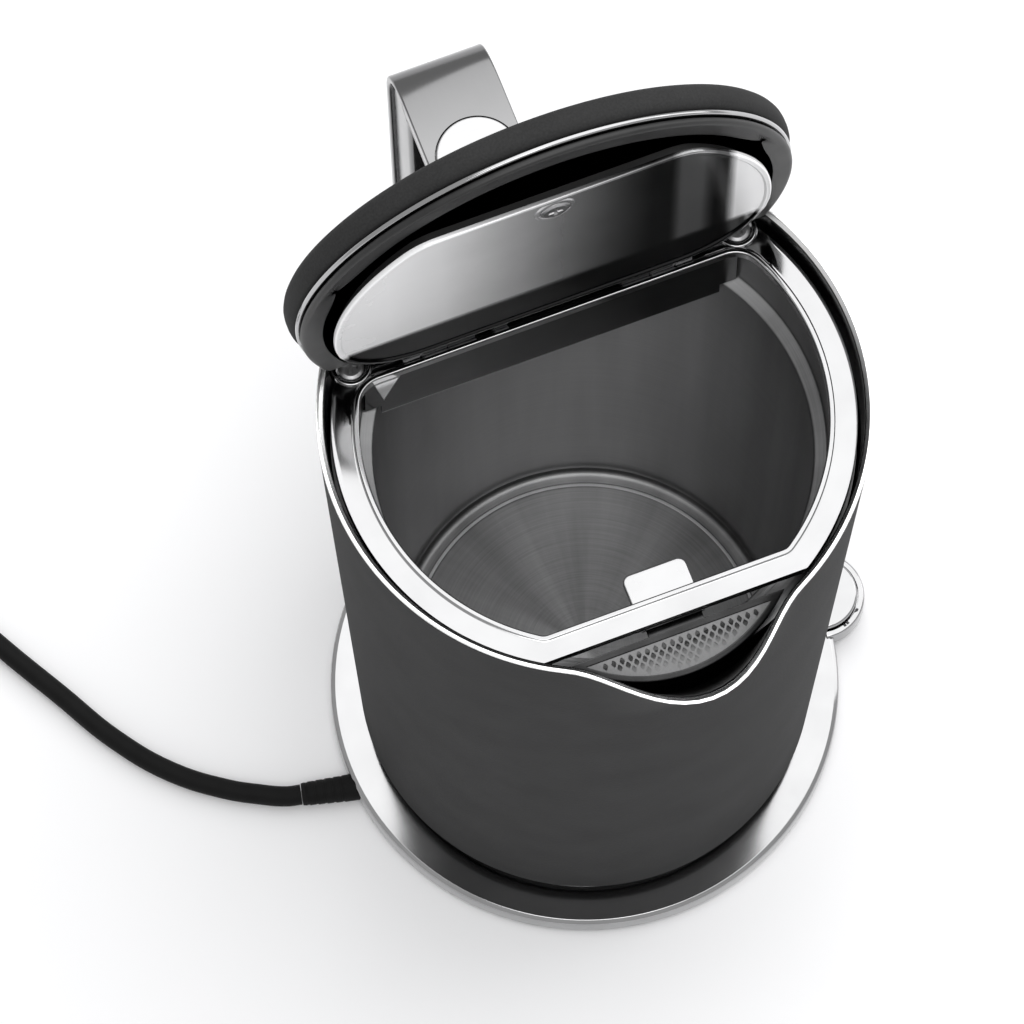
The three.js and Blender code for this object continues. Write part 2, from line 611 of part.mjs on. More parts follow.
function rimBand() {
  const inset = SHELL_TOP_WALL + BAND_GAP;
  const outside = levelsBetween(bandBottom, shellTop);
  const lining = levelsBetween(bandBottom, RIM_HEIGHT).reverse();
  const body = turned([
    ...outside.map((z) => [shellRadius(z) - inset, z]),
    [shellRadius(lipUnder) - inset, lipUnder],
    [shellRadius(lipUnder), lipUnder],
    [RIM_RADIUS, RIM_HEIGHT],
    ...lining.map((z) => [bandInner(z), z]),
  ], JUG_SEGMENTS);
  return pushSpout(body, THROAT_RADIUS);
}

function liner() {
  const floorUnder = LINER_FLOOR - 1.5;
  const throatTop = ringUnder - GAP;
  const flangeUnder = flangeTop - FLANGE_THICKNESS;
  const wall = LINER_WALL;
  const body = turned([
    [0, LINER_FLOOR],
    [LINER_FLOOR_RADIUS - 5, LINER_FLOOR],
    [LINER_FLOOR_RADIUS - 1.4, LINER_FLOOR + 1.6],
    [LINER_FLOOR_RADIUS, LINER_FLOOR + 5.5],
    [SHOULDER_RADIUS, SHOULDER_HEIGHT - 2.4],
    [SHOULDER_RADIUS + 0.8, SHOULDER_HEIGHT - 0.6],
    [THROAT_RADIUS, SHOULDER_HEIGHT + 0.4],
    [THROAT_RADIUS, throatTop],
    [THROAT_RADIUS + wall, throatTop],
    [THROAT_RADIUS + wall, flangeTop],
    [bandInner(flangeTop) - 0.4, flangeTop],
    [bandInner(flangeTop) - 0.4, flangeUnder],
    [THROAT_RADIUS + wall, flangeUnder],
    [THROAT_RADIUS + wall, SHOULDER_HEIGHT - 0.4],
    [SHOULDER_RADIUS + wall + 0.8, SHOULDER_HEIGHT - 1.5],
    [SHOULDER_RADIUS + wall, SHOULDER_HEIGHT - 3],
    [LINER_FLOOR_RADIUS + wall, LINER_FLOOR + 5],
    [LINER_FLOOR_RADIUS - 1.6, floorUnder + 0.8],
    [LINER_FLOOR_RADIUS - 5, floorUnder],
    [0, floorUnder],
  ]);
  const windowHalf = FILTER_HALF_WIDTH + 5;
  const pourWindow = box(-windowHalf, windowHalf, -PAST, PAN_FRONT, flangeTop + 0.2, PAST);
  const latchBarTop = flangeTop + 2.3;
  const side = LATCH_WIDTH / 2 + 1.2;
  const latchWindow = box(-side, side, 0, PAST, latchBarTop - 0.6, latchBarTop + LATCH_BAR + 0.6);
  const notch = box(-side, side, THROAT_RADIUS + 1.6, PAST, flangeUnder - 1, flangeTop + 1);
  return carve([pushSpout(body, THROAT_RADIUS + LINER_WALL + 1)], [pourWindow, latchWindow, notch]);
}

part(jug, 'outer_shell', outerShell(), softTouch);
part(jug, 'rim_band', rimBand(), polishedSteel);
part(jug, 'liner', liner(), brushedSteel);

// ---- jug: underside, heater and connector ----
const bottomPlate = SHELL_BOTTOM + 0.5;
const coverRadius = shellRadius(bottomPlate) - SHELL_WALL - SLIDE_GAP;
const jugStand = BASE_TOP + GAP;
const sleeveInner = SOCKET_RADIUS + SLIDE_GAP;
const sleeveOuter = sleeveInner + 3.6;
const bottomScrewPlaces = aroundAxis(3, 40, -Math.PI / 2);
const bottomCover = turned([
  [sleeveOuter + GAP, bottomPlate],
  [coverRadius - 6, bottomPlate],
  [coverRadius - 6, jugStand],
  [coverRadius - 3, jugStand],
  [coverRadius - 3, bottomPlate],
  [coverRadius, bottomPlate],
  [coverRadius, bottomPlate + 2.5],
  [sleeveOuter + GAP, bottomPlate + 2.5],
]);
const bottomHoles = bottomScrewPlaces.map((at) => rod('z', SCREW_SHANK + GAP, 0, PAST, at));
part(jug, 'jug_bottom_cover', carve([bottomCover], bottomHoles), blackPlastic);
bottomScrewPlaces.forEach((at, i) => {
  const piece = screw('z', SCREW_HEAD, SCREW_SHANK, bottomPlate - 2, bottomPlate - GAP, 28, at);
  part(jug, `bottom_screw_${i + 1}`, piece, aluminium);
});

const sleeveTop = SOCKET_TOP + 5;
const sleeve = turned([
  [0, sleeveTop],
  [sleeveOuter, sleeveTop],
  [sleeveOuter, bottomPlate + 5],
  [sleeveOuter + 4, bottomPlate + 5],
  [sleeveOuter + 4, bottomPlate + 2.5 + GAP],
  [sleeveOuter, bottomPlate + 2.5 + GAP],
  [sleeveOuter, jugStand + 1.5],
  [sleeveInner, jugStand + 1.5],
  [sleeveInner, SOCKET_TOP + 1],
  [2, SOCKET_TOP + 1],
  [2, SOCKET_TOP - 7],
  [0, SOCKET_TOP - 7],
], 28);
part(jug, 'jug_connector', sleeve, blackPlastic);
const heaterTop = LINER_FLOOR - 1.5 - GAP;
const heater = rod('z', LINER_FLOOR_RADIUS - 8, heaterTop - 3, heaterTop, [0, 0], SEGMENTS);
part(jug, 'heating_plate', heater, aluminium);
const controlTop = heaterTop - 3 - GAP;
part(jug, 'thermostat_control', rod('z', 17, sleeveTop + GAP, controlTop, [0, 0], 24), blackPlastic);
const supportLow = 44;
const supportInner = LINER_FLOOR_RADIUS + LINER_WALL + 0.6;
const supportOuter = shellRadius(supportLow) - SHELL_WALL - SLIDE_GAP;
const supportRing = ringBetween(supportInner, supportOuter, supportLow, supportLow + 4);
part(jug, 'liner_support_ring', supportRing, blackPlastic);

// ---- jug: rim ring with the mouth, the front bar and the hinge seats ----
const springInner = HINGE_ARM_INNER - HINGE_SPRING_WIDTH - GAP;
const armOuter = HINGE_ARM_INNER + HINGE_ARM_WIDTH;
const lugInner = armOuter + SLIDE_GAP;
const opening = doubleD(
  OPENING_RADIUS,
  OPENING_FRONT,
  OPENING_REAR,
  OPENING_FRONT_CORNER,
  OPENING_REAR_CORNER,
);
const sides = [-1, 1];

// A box given by its distances from the middle plane, on one side of it.
function sideBox(side, near, far, y0, y1, z0, z1) {
  const [low, high] = [side * near, side * far].sort((a, b) => a - b);
  return box(low, high, y0, y1, z0, z1);
}

function sideRod(side, radius, near, far) {
  const [low, high] = [side * near, side * far].sort((a, b) => a - b);
  return rod('x', radius, low, high, [HINGE_Y, hingeZ]);
}

function rimRing() {
  const face = plate(doubleD(RING_RADIUS, null, -BAR_FRONT), ringUnder, ringTop, 0.5, 48).rotateZ(Math.PI);
  const skirt = ringBetween(RING_RADIUS - RING_SKIRT, RING_RADIUS, flangeTop + GAP, ringUnder + 0.8);
  const mouth = plate(opening, ringUnder - 5, ringTop + 5);
  const front = box(-PAST, PAST, -PAST, BAR_FRONT, 0, ringUnder + 0.9);
  const lugs = sides.map((side) => {
    const far = lugInner + HINGE_LUG_WIDTH;
    return sideBox(side, lugInner, far, HINGE_Y - 2.3, HINGE_Y + 2.3, ringTop - 1, hingeZ + 2.1);
  });
  const cuts = [mouth];
  for (const side of sides) {
    const seatFar = armOuter + SLIDE_GAP;
    const screwAt = [side * RING_SCREW_X, RING_SCREW_Y];
    cuts.push(sideBox(side, springInner - 0.5, seatFar, HINGE_Y - 3.6, HINGE_Y + 3.7, 0, PAST));
    cuts.push(sideRod(side, HINGE_PIN_RADIUS + GAP, seatFar, seatFar + 9));
    cuts.push(rod('z', RING_SCREW_HEAD + SLIDE_GAP, ringTop - 1.5, PAST, screwAt));
    cuts.push(rod('z', SCREW_SHANK + GAP, 0, PAST, screwAt));
  }
  const latchSide = LATCH_WIDTH / 2 + 1;
  cuts.push(box(-latchSide, latchSide, THROAT_RADIUS, PAST, 0, ringUnder - 1));
  const camSide = CAM_WIDTH / 2 + 0.6;
  cuts.push(box(CAM_X - camSide, CAM_X + camSide, HINGE_Y - CAM_RADIUS - 0.5, HINGE_Y + 12.7, 0, PAST));
  const ring = carve([skirt], [front]);
  return carve([face, ring, ...lugs], cuts);
}

part(jug, 'rim_ring', rimRing(), chrome);
sides.forEach((side) => {
  const hand = side < 0 ? 'left' : 'right';
  const headTop = ringTop - 0.3;
  const piece = screw('z', RING_SCREW_HEAD, SCREW_SHANK, headTop, headTop - 1, flangeTop + 1, [
    side * RING_SCREW_X,
    RING_SCREW_Y,
  ]);
  part(jug, `ring_screw_${hand}`, piece, aluminium);
  const pin = sideRod(side, HINGE_PIN_RADIUS, springInner, lugInner + HINGE_LUG_WIDTH);
  part(jug, `hinge_pin_${hand}`, pin, brushedSteel);
  const coilOuter = sideRod(side, HINGE_PIN_RADIUS + 1.3, springInner, springInner + HINGE_SPRING_WIDTH);
  const coilHole = sideRod(side, HINGE_PIN_RADIUS + GAP, 0, 60);
  part(jug, `hinge_spring_${hand}`, carve([coilOuter], [coilHole]), brushedSteel);
});

// Plate behind the mouth with a tray that rests on the vessel's shoulder: it closes off the latch.
function rearBaffle() {
  const front = OPENING_REAR + 0.5;
  const back = front + 1;
  const low = SHOULDER_HEIGHT - 5;
  const trayLow = SHOULDER_HEIGHT + 0.7;
  const halfLow = Math.sqrt((SHOULDER_RADIUS - 0.6) ** 2 - back ** 2);
  const halfHigh = Math.sqrt((THROAT_RADIUS - 0.6) ** 2 - back ** 2);
  const lower = box(-halfLow, halfLow, front, back, low, trayLow + 0.5);
  const upper = box(-halfHigh, halfHigh, front, back, trayLow, ringUnder - GAP);
  const tray = rod('z', THROAT_RADIUS - 0.4, trayLow, trayLow + 1, [0, 0], SEGMENTS);
  const trayFront = box(-PAST, PAST, -PAST, front + 0.2, 0, PAST);
  return carve([carve([tray], [trayFront]), lower, upper]);
}

// Cover behind the lid, level with the rim.
function rearCover() {
  const front = HINGE_Y + (capTop - hingeZ) + 1;
  const top = RIM_HEIGHT - 0.4;
  const radius = RING_RADIUS;
  const disc = rod('z', radius, top - 3.2, top, [0, 0], SEGMENTS);
  const skirt = rod('z', radius, ringTop + GAP, top - 3, [0, 0], SEGMENTS);
  const inside = rod('z', radius - 2, ringTop - 1, top - 3.2, [0, 0], SEGMENTS);
  const hollow = carve([inside], [box(-PAST, PAST, -PAST, front + 2, 0, PAST)]);
  return carve([disc, skirt], [hollow, box(-PAST, PAST, -PAST, front, 0, PAST)]);
}

part(jug, 'rear_baffle', rearBaffle(), brushedSteel);
part(jug, 'rear_cover', rearCover(), softTouch);

// ---- jug: handle ----
// Side view of a face of the handle, as [y, z], from the shell out, down and back to it. The depth
// is measured from the outer face towards the finger gap.
function handlePath(depth) {
  const bend = Math.max(HANDLE_BEND - 0.7 * depth, 5);
  const lean = (HANDLE_BACK_TOP_Y - HANDLE_BACK_LOW_Y) / (HANDLE_TOP - HANDLE_BOTTOM);
  const top = HANDLE_TOP - depth;
  const bottom = HANDLE_BOTTOM + depth;
  const backTop = HANDLE_BACK_TOP_Y - depth * (1 + lean);
  const backLow = HANDLE_BACK_LOW_Y - depth * (1 - lean);
  const path = new THREE.Path();
  const inside = SHELL_BOTTOM_RADIUS - 15; // both ends run into the jug and are cut off at its wall
  path.moveTo(inside, top);
  path.lineTo(backTop - bend, top);
  path.quadraticCurveTo(backTop, top, backTop - bend * lean, top - bend);
  path.lineTo(backLow + bend * lean, bottom + bend);
  path.quadraticCurveTo(backLow, bottom, backLow - bend, bottom);
  path.lineTo(inside, bottom);
  return path.getPoints(7).filter((point, i, all) => i === 0 || point.distanceTo(all[i - 1]) > 1e-6);
}

// Strip between two of those faces, as wide as given.
function handleStrip(from, to, width, bevel) {
  const shape = new THREE.Shape([...handlePath(from), ...handlePath(to).reverse()]);
  const flat = plate(shape, -width / 2, width / 2, bevel);
  const basis = new THREE.Matrix4().makeBasis(
    new THREE.Vector3(0, 1, 0),
    new THREE.Vector3(0, 0, 1),
    new THREE.Vector3(1, 0, 0),
  );
  return flat.applyMatrix4(basis);
}

const jugEnvelope = turned([
  [0, SHELL_BOTTOM],
  [shellRadius(SHELL_BOTTOM) + GAP, SHELL_BOTTOM],
  [shellRadius(RIM_HEIGHT) + GAP, RIM_HEIGHT],
  [0, RIM_HEIGHT],
], JUG_SEGMENTS);
const buttonAt = [0, BUTTON_Y];
const buttonTop = HANDLE_TOP + 0.4;
const buttonUnder = buttonTop - BUTTON_THICKNESS;
const pocketFloor = buttonUnder - BUTTON_TRAVEL - 0.5;
const latchPad = 5; // half-width of the latch under the button
const springFloor = latchLow + LATCH_BAR + 0.9;

function handleSkin() {
  const strip = handleStrip(0, HANDLE_SKIN, HANDLE_WIDTH, 0.5);
  const hole = rod('z', BUTTON_RADIUS + GAP, HANDLE_TOP - 9, HANDLE_TOP + 9, buttonAt, 40);
  return carve([strip], [jugEnvelope, hole]);
}

function handleCore() {
  const from = HANDLE_SKIN + GAP;
  const strip = handleStrip(from, from + HANDLE_CORE, HANDLE_WIDTH - 2 * HANDLE_CORE_INSET, 1.6);
  const cuts = [jugEnvelope];
  cuts.push(rod('z', BUTTON_RADIUS + SLIDE_GAP, pocketFloor, HANDLE_TOP + 9, buttonAt, 40));
  cuts.push(rod('z', STEM_RADIUS + 3, springFloor, HANDLE_TOP, buttonAt));
  cuts.push(rod('z', STEM_RADIUS + SLIDE_GAP, latchLow - 0.8, HANDLE_TOP, buttonAt));
  const channelEnd = BUTTON_Y + 8 + LATCH_TRAVEL + 0.6;
  const side = latchPad + 0.5;
  cuts.push(box(-side, side, 0, channelEnd, latchLow - 0.5, latchLow + LATCH_BAR + 0.5));
  const boreEnd = RIM_RADIUS + 9;
  for (const at of handleScrewPlaces) cuts.push(rod('y', SCREW_SHANK + GAP, 0, boreEnd, at));
  return carve([strip], cuts);
}

part(jug, 'handle_skin', handleSkin(), polishedSteel);
part(jug, 'handle_core', handleCore(), polishedSteel);
handleScrewPlaces.forEach(([x, z], i) => {
  const inside = Math.sqrt((shellRadius(z) - SHELL_WALL) ** 2 - (Math.abs(x) + SCREW_HEAD) ** 2);
  const headTo = inside - 0.8;
  const piece = screw('y', SCREW_HEAD - 0.4, SCREW_SHANK, headTo - 2, headTo, headTo + 11, [x, z]);
  part(jug, `handle_screw_${i + 1}`, piece, aluminium);
});

// ---- release button, its spring and the latch that it draws back ----
function releaseButton() {
  const outline = new THREE.Shape().absarc(0, 0, BUTTON_RADIUS, 0, 2 * Math.PI, false);
  const disc = plate(outline, buttonUnder, buttonTop, 0.4, 14).translate(0, BUTTON_Y, 0);
  const stem = rod('z', STEM_RADIUS, latchLow + 2.2, buttonUnder + 0.5, buttonAt);
  return carve([disc, stem]);
}

function latchRod() {
  const half = LATCH_WIDTH / 2;
  const post = THROAT_RADIUS + 1.8;
  const postEnd = post + 2.8;
  const high = flangeTop + 2.3;
  const highTop = high + LATCH_BAR;
  const noseFront = HINGE_Y + CAM_RADIUS + 1.9;
  const lowBar = box(-half, half, post, BUTTON_Y, latchLow, latchLow + LATCH_BAR);
  const pad = box(-latchPad, latchPad, BUTTON_Y - 8, BUTTON_Y + 8, latchLow, latchLow + LATCH_BAR);
  const upright = box(-half, half, post, postEnd, latchLow, highTop);
  const topBar = box(-half, half, noseFront + 2, postEnd, high, highTop);
  const arm = box(CAM_X - 2, half, noseFront, noseFront + 4, high, highTop);
  const nose = box(CAM_X - 2, CAM_X + 2, noseFront, noseFront + 4, high, ringTop - 0.5);
  const room = STEM_RADIUS + 0.6;
  const slot = box(-room, room, BUTTON_Y - room - LATCH_TRAVEL, BUTTON_Y + room, 0, PAST);
  return carve([lowBar, pad, upright, topBar, arm, nose], [slot]);
}

part(jug, 'release_button', releaseButton(), brushedSteel);
const springTop = buttonUnder - GAP;
const springLow = springFloor + GAP;
const springInside = STEM_RADIUS + SLIDE_GAP;
const springTube = ringBetween(springInside, springInside + 1.9, springLow, springTop, SMALL_SEGMENTS);
part(jug, 'button_spring', springTube.translate(0, BUTTON_Y, 0), brushedSteel);
part(jug, 'latch_rod', latchRod(), brushedSteel);

// ================= filter in the spout =================
// Half-moon with its straight edge beside the front bar, drawn in by an inset.
function halfMoon(inset) {
  const radius = (FILTER_HALF_WIDTH ** 2 + FILTER_REACH ** 2) / (2 * FILTER_REACH);
  const middle = FILTER_TOP_Y - FILTER_REACH + radius;
  const edge = FILTER_TOP_Y - inset;
  const turn = Math.acos((middle - edge) / (radius - inset));
  const down = 1.5 * Math.PI;
  return new THREE.Shape().absarc(0, middle, radius - inset, down - turn, down + turn, false);
}

// Tips a flat piece down towards the spout, beyond the straight edge.
function tipped(geometry) {
  const position = geometry.attributes.position;
  for (let i = 0; i < position.count; i += 1) {
    const beyond = Math.min(0, position.getY(i) - FILTER_TOP_Y);
    position.setZ(i, position.getZ(i) + FILTER_SLOPE * beyond);
  }
  return geometry;
}

const filterTop = panUnder - PAN_SCREW_HEAD - 0.8;
const filterUnder = filterTop - FILTER_THICKNESS;

function filterFrame() {
  const outer = plate(halfMoon(0), filterUnder, filterTop, 0, 20);
  const inner = plate(halfMoon(FILTER_FRAME_WIDTH), filterUnder - 5, filterTop + 5, 0, 20);
  const ring = tipped(carve([outer], [inner]));
  const half = TAB_WIDTH / 2;
  const tab = box(-half, half, FILTER_TOP_Y - 0.6, TAB_END_Y, filterTop - TAB_THICKNESS, filterTop);
  return carve([ring, tab]);
}

part(jug, 'filter_frame', filterFrame(), blackPlastic);
const meshPlate = plate(halfMoon(FILTER_FRAME_WIDTH + GAP), filterUnder + 0.3, filterTop - 0.4, 0, 20);
part(jug, 'filter_mesh', tipped(meshPlate), brushedSteel);

// ================= lid =================
// Built as it lies when shut, about the hinge axis, then swung open.
const lidShut = new THREE.Group();
lidShut.position.set(0, -HINGE_Y, -hingeZ);
lid.position.set(0, HINGE_Y, hingeZ);
lid.rotation.x = -LID_OPEN_ANGLE;
lid.add(lidShut);

function lidRing(radius, width, rearWidth, low, high, bevel) {
  const outer = plate(doubleD(radius, null, LID_REAR, 0, 3), low, high, bevel, 36);
  const inner = plate(doubleD(radius - width, null, LID_REAR - rearWidth, 0, 3), low - 5, high + 5, 0, 36);
  return carve([outer], [inner]);
}

const panScrewAt = [0, PAN_SCREW_Y];

// The cap follows the round lid, and its middle reaches back over the hinge.
function lidCap() {
  const disc = plate(doubleD(LID_RADIUS, null, LID_REAR, 0, 4), capUnder, capTop, 2.4);
  const half = TONGUE_HALF;
  const tongue = new THREE.Shape();
  tongue.moveTo(-half, 0);
  tongue.lineTo(half, 0);
  tongue.lineTo(half, CAP_REAR - 4);
  tongue.absarc(half - 4, CAP_REAR - 4, 4, 0, Math.PI / 2, false);
  tongue.absarc(-half + 4, CAP_REAR - 4, 4, Math.PI / 2, Math.PI, false);
  return carve([disc, plate(spaced(tongue), capUnder, capTop, 2.4)]);
}

part(lidShut, 'lid_cap', lidCap(), softTouch);
const trim = lidRing(TRIM_RADIUS, TRIM_WIDTH, 3, trimTop - TRIM_THICKNESS, trimTop, 0.3);
part(lidShut, 'lid_trim_ring', trim, chrome);
const gasket = lidRing(GASKET_RADIUS, GASKET_WIDTH, 3, gasketTop - GASKET_THICKNESS, gasketTop, 0.9);
part(lidShut, 'lid_gasket', gasket, rubber);

function lidPlate(inset, low, high, bevel) {
  const front = PAN_FRONT + inset;
  const shape = doubleD(PAN_RADIUS - inset, front, PAN_REAR - inset, PAN_FRONT_CORNER, PAN_REAR_CORNER);
  return plate(shape, low, high, bevel, 20);
}

const panHole = rod('z', SCREW_SHANK + GAP, panUnder - 5, panTop + 4, panScrewAt);
const core = lidPlate(CORE_INSET, panTop + GAP, capUnder - GAP, 0);
part(lidShut, 'lid_core', carve([core], [panHole]), blackPlastic);
part(lidShut, 'lid_pan', carve([lidPlate(0, panUnder, panTop, 0.4)], [panHole]), polishedSteel);
const panHead = panUnder - PAN_SCREW_HEAD;
const panScrew = screw('z', 4.2, SCREW_SHANK, panHead, panUnder - 0.1, panTop + 3.5, panScrewAt);
part(lidShut, 'lid_pan_screw', panScrew, aluminium);

function hingeArm(side) {
  const barrel = sideRod(side, HINGE_ARM_RADIUS, HINGE_ARM_INNER, armOuter);
  const webFront = HINGE_Y - HINGE_ARM_RADIUS;
  const web = sideBox(side, HINGE_ARM_INNER, armOuter, webFront, CAP_REAR - 0.2, hingeZ, capUnder - GAP);
  const bore = sideRod(side, HINGE_PIN_RADIUS + GAP, 0, 60);
  const above = box(-PAST, PAST, 0, PAST, capUnder - GAP, PAST);
  return carve([barrel, web], [bore, above]);
}

function latchCam() {
  const half = CAM_WIDTH / 2;
  const barrel = rod('x', CAM_RADIUS, CAM_X - half, CAM_X + half, [HINGE_Y, hingeZ]);
  const web = box(CAM_X - half, CAM_X + half, HINGE_Y - CAM_RADIUS, CAP_REAR - 0.2, hingeZ, capUnder - GAP);
  return carve([barrel, web], [box(-PAST, PAST, 0, PAST, capUnder - GAP, PAST)]);
}

part(lidShut, 'lid_arm_left', hingeArm(-1), aluminium);
part(lidShut, 'lid_arm_right', hingeArm(1), aluminium);
part(lidShut, 'lid_latch_cam', latchCam(), aluminium);

export default kettle;
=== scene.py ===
# Electric kettle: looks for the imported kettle, in metres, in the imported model's own frame.
# The jug stands on its base with the lid open, the spout points to -Y and the handle to +Y.
import math

import bmesh
import bpy
from mathutils import Matrix, Vector


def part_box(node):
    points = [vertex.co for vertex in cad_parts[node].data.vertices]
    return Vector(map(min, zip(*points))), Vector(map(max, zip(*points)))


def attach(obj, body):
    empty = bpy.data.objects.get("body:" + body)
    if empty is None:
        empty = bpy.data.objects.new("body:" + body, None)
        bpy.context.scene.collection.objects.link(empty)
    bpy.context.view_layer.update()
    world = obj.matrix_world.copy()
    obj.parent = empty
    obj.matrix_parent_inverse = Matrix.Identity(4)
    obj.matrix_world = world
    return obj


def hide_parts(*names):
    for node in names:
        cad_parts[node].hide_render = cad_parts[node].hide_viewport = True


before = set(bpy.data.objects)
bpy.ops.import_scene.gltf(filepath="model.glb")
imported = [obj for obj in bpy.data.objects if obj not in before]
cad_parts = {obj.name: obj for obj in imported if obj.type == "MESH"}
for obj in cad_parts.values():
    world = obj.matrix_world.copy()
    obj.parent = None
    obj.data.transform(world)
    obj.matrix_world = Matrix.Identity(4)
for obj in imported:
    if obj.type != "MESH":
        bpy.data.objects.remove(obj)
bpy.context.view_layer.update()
MM = 0.001


def low(node):
    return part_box(node)[0]


def high(node):
    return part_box(node)[1]


# ---- sizes, from the frame where the frame has them ----
GAP = 0.3 * MM
HANDLE_BACK = high("handle_skin").y
RIM = high("rim_band").z
RIM_RADIUS = high("rim_band").x
SHELL_FOOT = low("outer_shell").z
SHELL_TAPER = 9.4 * MM
SHELL_WALL = 2.2 * MM
LIP_WIDTH = 1.0 * MM  # bright edge round the rim and the spout
BAND_INSET = 2.2 * MM
SPOUT_REACH = 12.9 * MM
SPOUT_HALF_ANGLE = math.radians(27)
SPOUT_DEPTH = 45 * MM
LINER_FLOOR = low("liner").z + 1.5 * MM
LINER_FLOOR_RADIUS = 55.2 * MM
FLOOR_LINE = 50 * MM  # bead round the vessel's floor
LINER_TOP = high("liner").z
SHOULDER = RIM - 31 * MM
RING_TOP = RIM - 7.3 * MM
RING_UNDER = RING_TOP - 3 * MM
RING_RADIUS = high("rim_ring").x
OPENING_RADIUS = RING_RADIUS - 7.8 * MM
OPENING_FRONT = 10.4 * MM - OPENING_RADIUS
OPENING_REAR = OPENING_RADIUS - 32.1 * MM
BAR_FRONT = low("rim_ring").y
THROAT_RADIUS = OPENING_RADIUS + 0.5 * MM
SHOULDER_RADIUS = THROAT_RADIUS - 4 * MM
HINGE_Y = OPENING_REAR + 5.1 * MM
HINGE_Z = RING_TOP + 1.8 * MM
BASE_RADIUS = low("base_top_shell").y * -1
BASE_TOP = high("base_top_shell").z
TURN_STEPS = 144  # facets round the large turned pieces
SMALL_STEPS = 40
MIDDLING_STEPS = 72
DISC_STEPS = 96
ARC_STEPS = 8  # facets in the corner of an outline


def shell_radius(z):
    """Outside radius of the shell at a height, away from the spout."""
    share = (z - SHELL_FOOT) / (RIM - SHELL_FOOT)
    return RIM_RADIUS - SHELL_TAPER * (1 - share)


# ================= camera, light and floor =================
CAMERA_PLACE = Vector((-0.334096, -0.783262, 2.579474))
CAMERA_HEADING = 0.37802  # from +Y towards +X
CAMERA_FALL = 1.23285  # below level
CAMERA_ROLL = 0.01244
SENSOR = 36
LENS = 326.07
FLOOR_SIZE = 6


def camera():
    ahead = Vector((
        math.sin(CAMERA_HEADING) * math.cos(CAMERA_FALL),
        math.cos(CAMERA_HEADING) * math.cos(CAMERA_FALL),
        -math.sin(CAMERA_FALL),
    ))
    level = Vector((math.cos(CAMERA_HEADING), -math.sin(CAMERA_HEADING), 0))
    upright = level.cross(ahead)
    right = math.cos(CAMERA_ROLL) * level + math.sin(CAMERA_ROLL) * upright
    up = math.cos(CAMERA_ROLL) * upright - math.sin(CAMERA_ROLL) * level
    data = bpy.data.cameras.new("camera")
    data.sensor_width = SENSOR
    data.lens = LENS
    data.shift_x = -0.00142
    data.shift_y = -0.00149
    data.clip_end = 20
    view = bpy.data.objects.new("camera", data)
    view.matrix_world = Matrix((right, up, -ahead)).transposed().to_4x4()
    view.location = CAMERA_PLACE
    bpy.context.scene.collection.objects.link(view)
    bpy.context.scene.camera = view


def softbox(name, place, target, width, height, power):
    data = bpy.data.lights.new(name, "AREA")
    data.shape = "RECTANGLE"
    data.size = width
    data.size_y = height
    data.energy = power
    lamp = bpy.data.objects.new(name, data)
    lamp.location = place
    lamp.rotation_euler = (Vector(target) - Vector(place)).to_track_quat("-Z", "Y").to_euler()
    bpy.context.scene.collection.objects.link(lamp)


def studio():
    world = bpy.data.worlds.new("studio")
    world.use_nodes = True
    world.node_tree.nodes["Background"].inputs["Color"].default_value = (1, 1, 1, 1)
    world.node_tree.nodes["Background"].inputs["Strength"].default_value = 0.6
    bpy.context.scene.world = world
    bpy.context.scene.view_settings.view_transform = "Standard"
    softbox("key", (0.8, 0.7, 2.3), (0, 0, 0.1), 3.2, 3.2, 52)
    softbox("side", (2.0, 0.3, 0.9), (0, 0, 0.1), 1.0, 1.0, 5)
    softbox("front", (-0.3, -0.9, 2.3), (0, 0, 0.1), 1.2, 1.2, 12)


# ================= shader expressions =================
def sign(operation, swapped=False):
    """An arithmetic sign between two signals, or a signal and a number."""
    def combine(self, other):
        values = (other, self) if swapped else (self, other)
        return self.sum(operation, *values)

    return combine


class Signal:
    """The output of a node, so that sums over a surface are written as expressions."""

    def __init__(self, finish, socket):
        self.finish = finish
        self.socket = socket

    def sum(self, operation, *values):
        settings = {"operation": operation}
        return self.finish.node("ShaderNodeMath", settings, dict(enumerate(values)))

    __add__, __radd__ = sign("ADD"), sign("ADD", swapped=True)
    __sub__, __rsub__ = sign("SUBTRACT"), sign("SUBTRACT", swapped=True)
    __mul__, __rmul__ = sign("MULTIPLY"), sign("MULTIPLY", swapped=True)
    __truediv__ = sign("DIVIDE")
    __gt__ = sign("GREATER_THAN")
    __lt__ = sign("LESS_THAN")


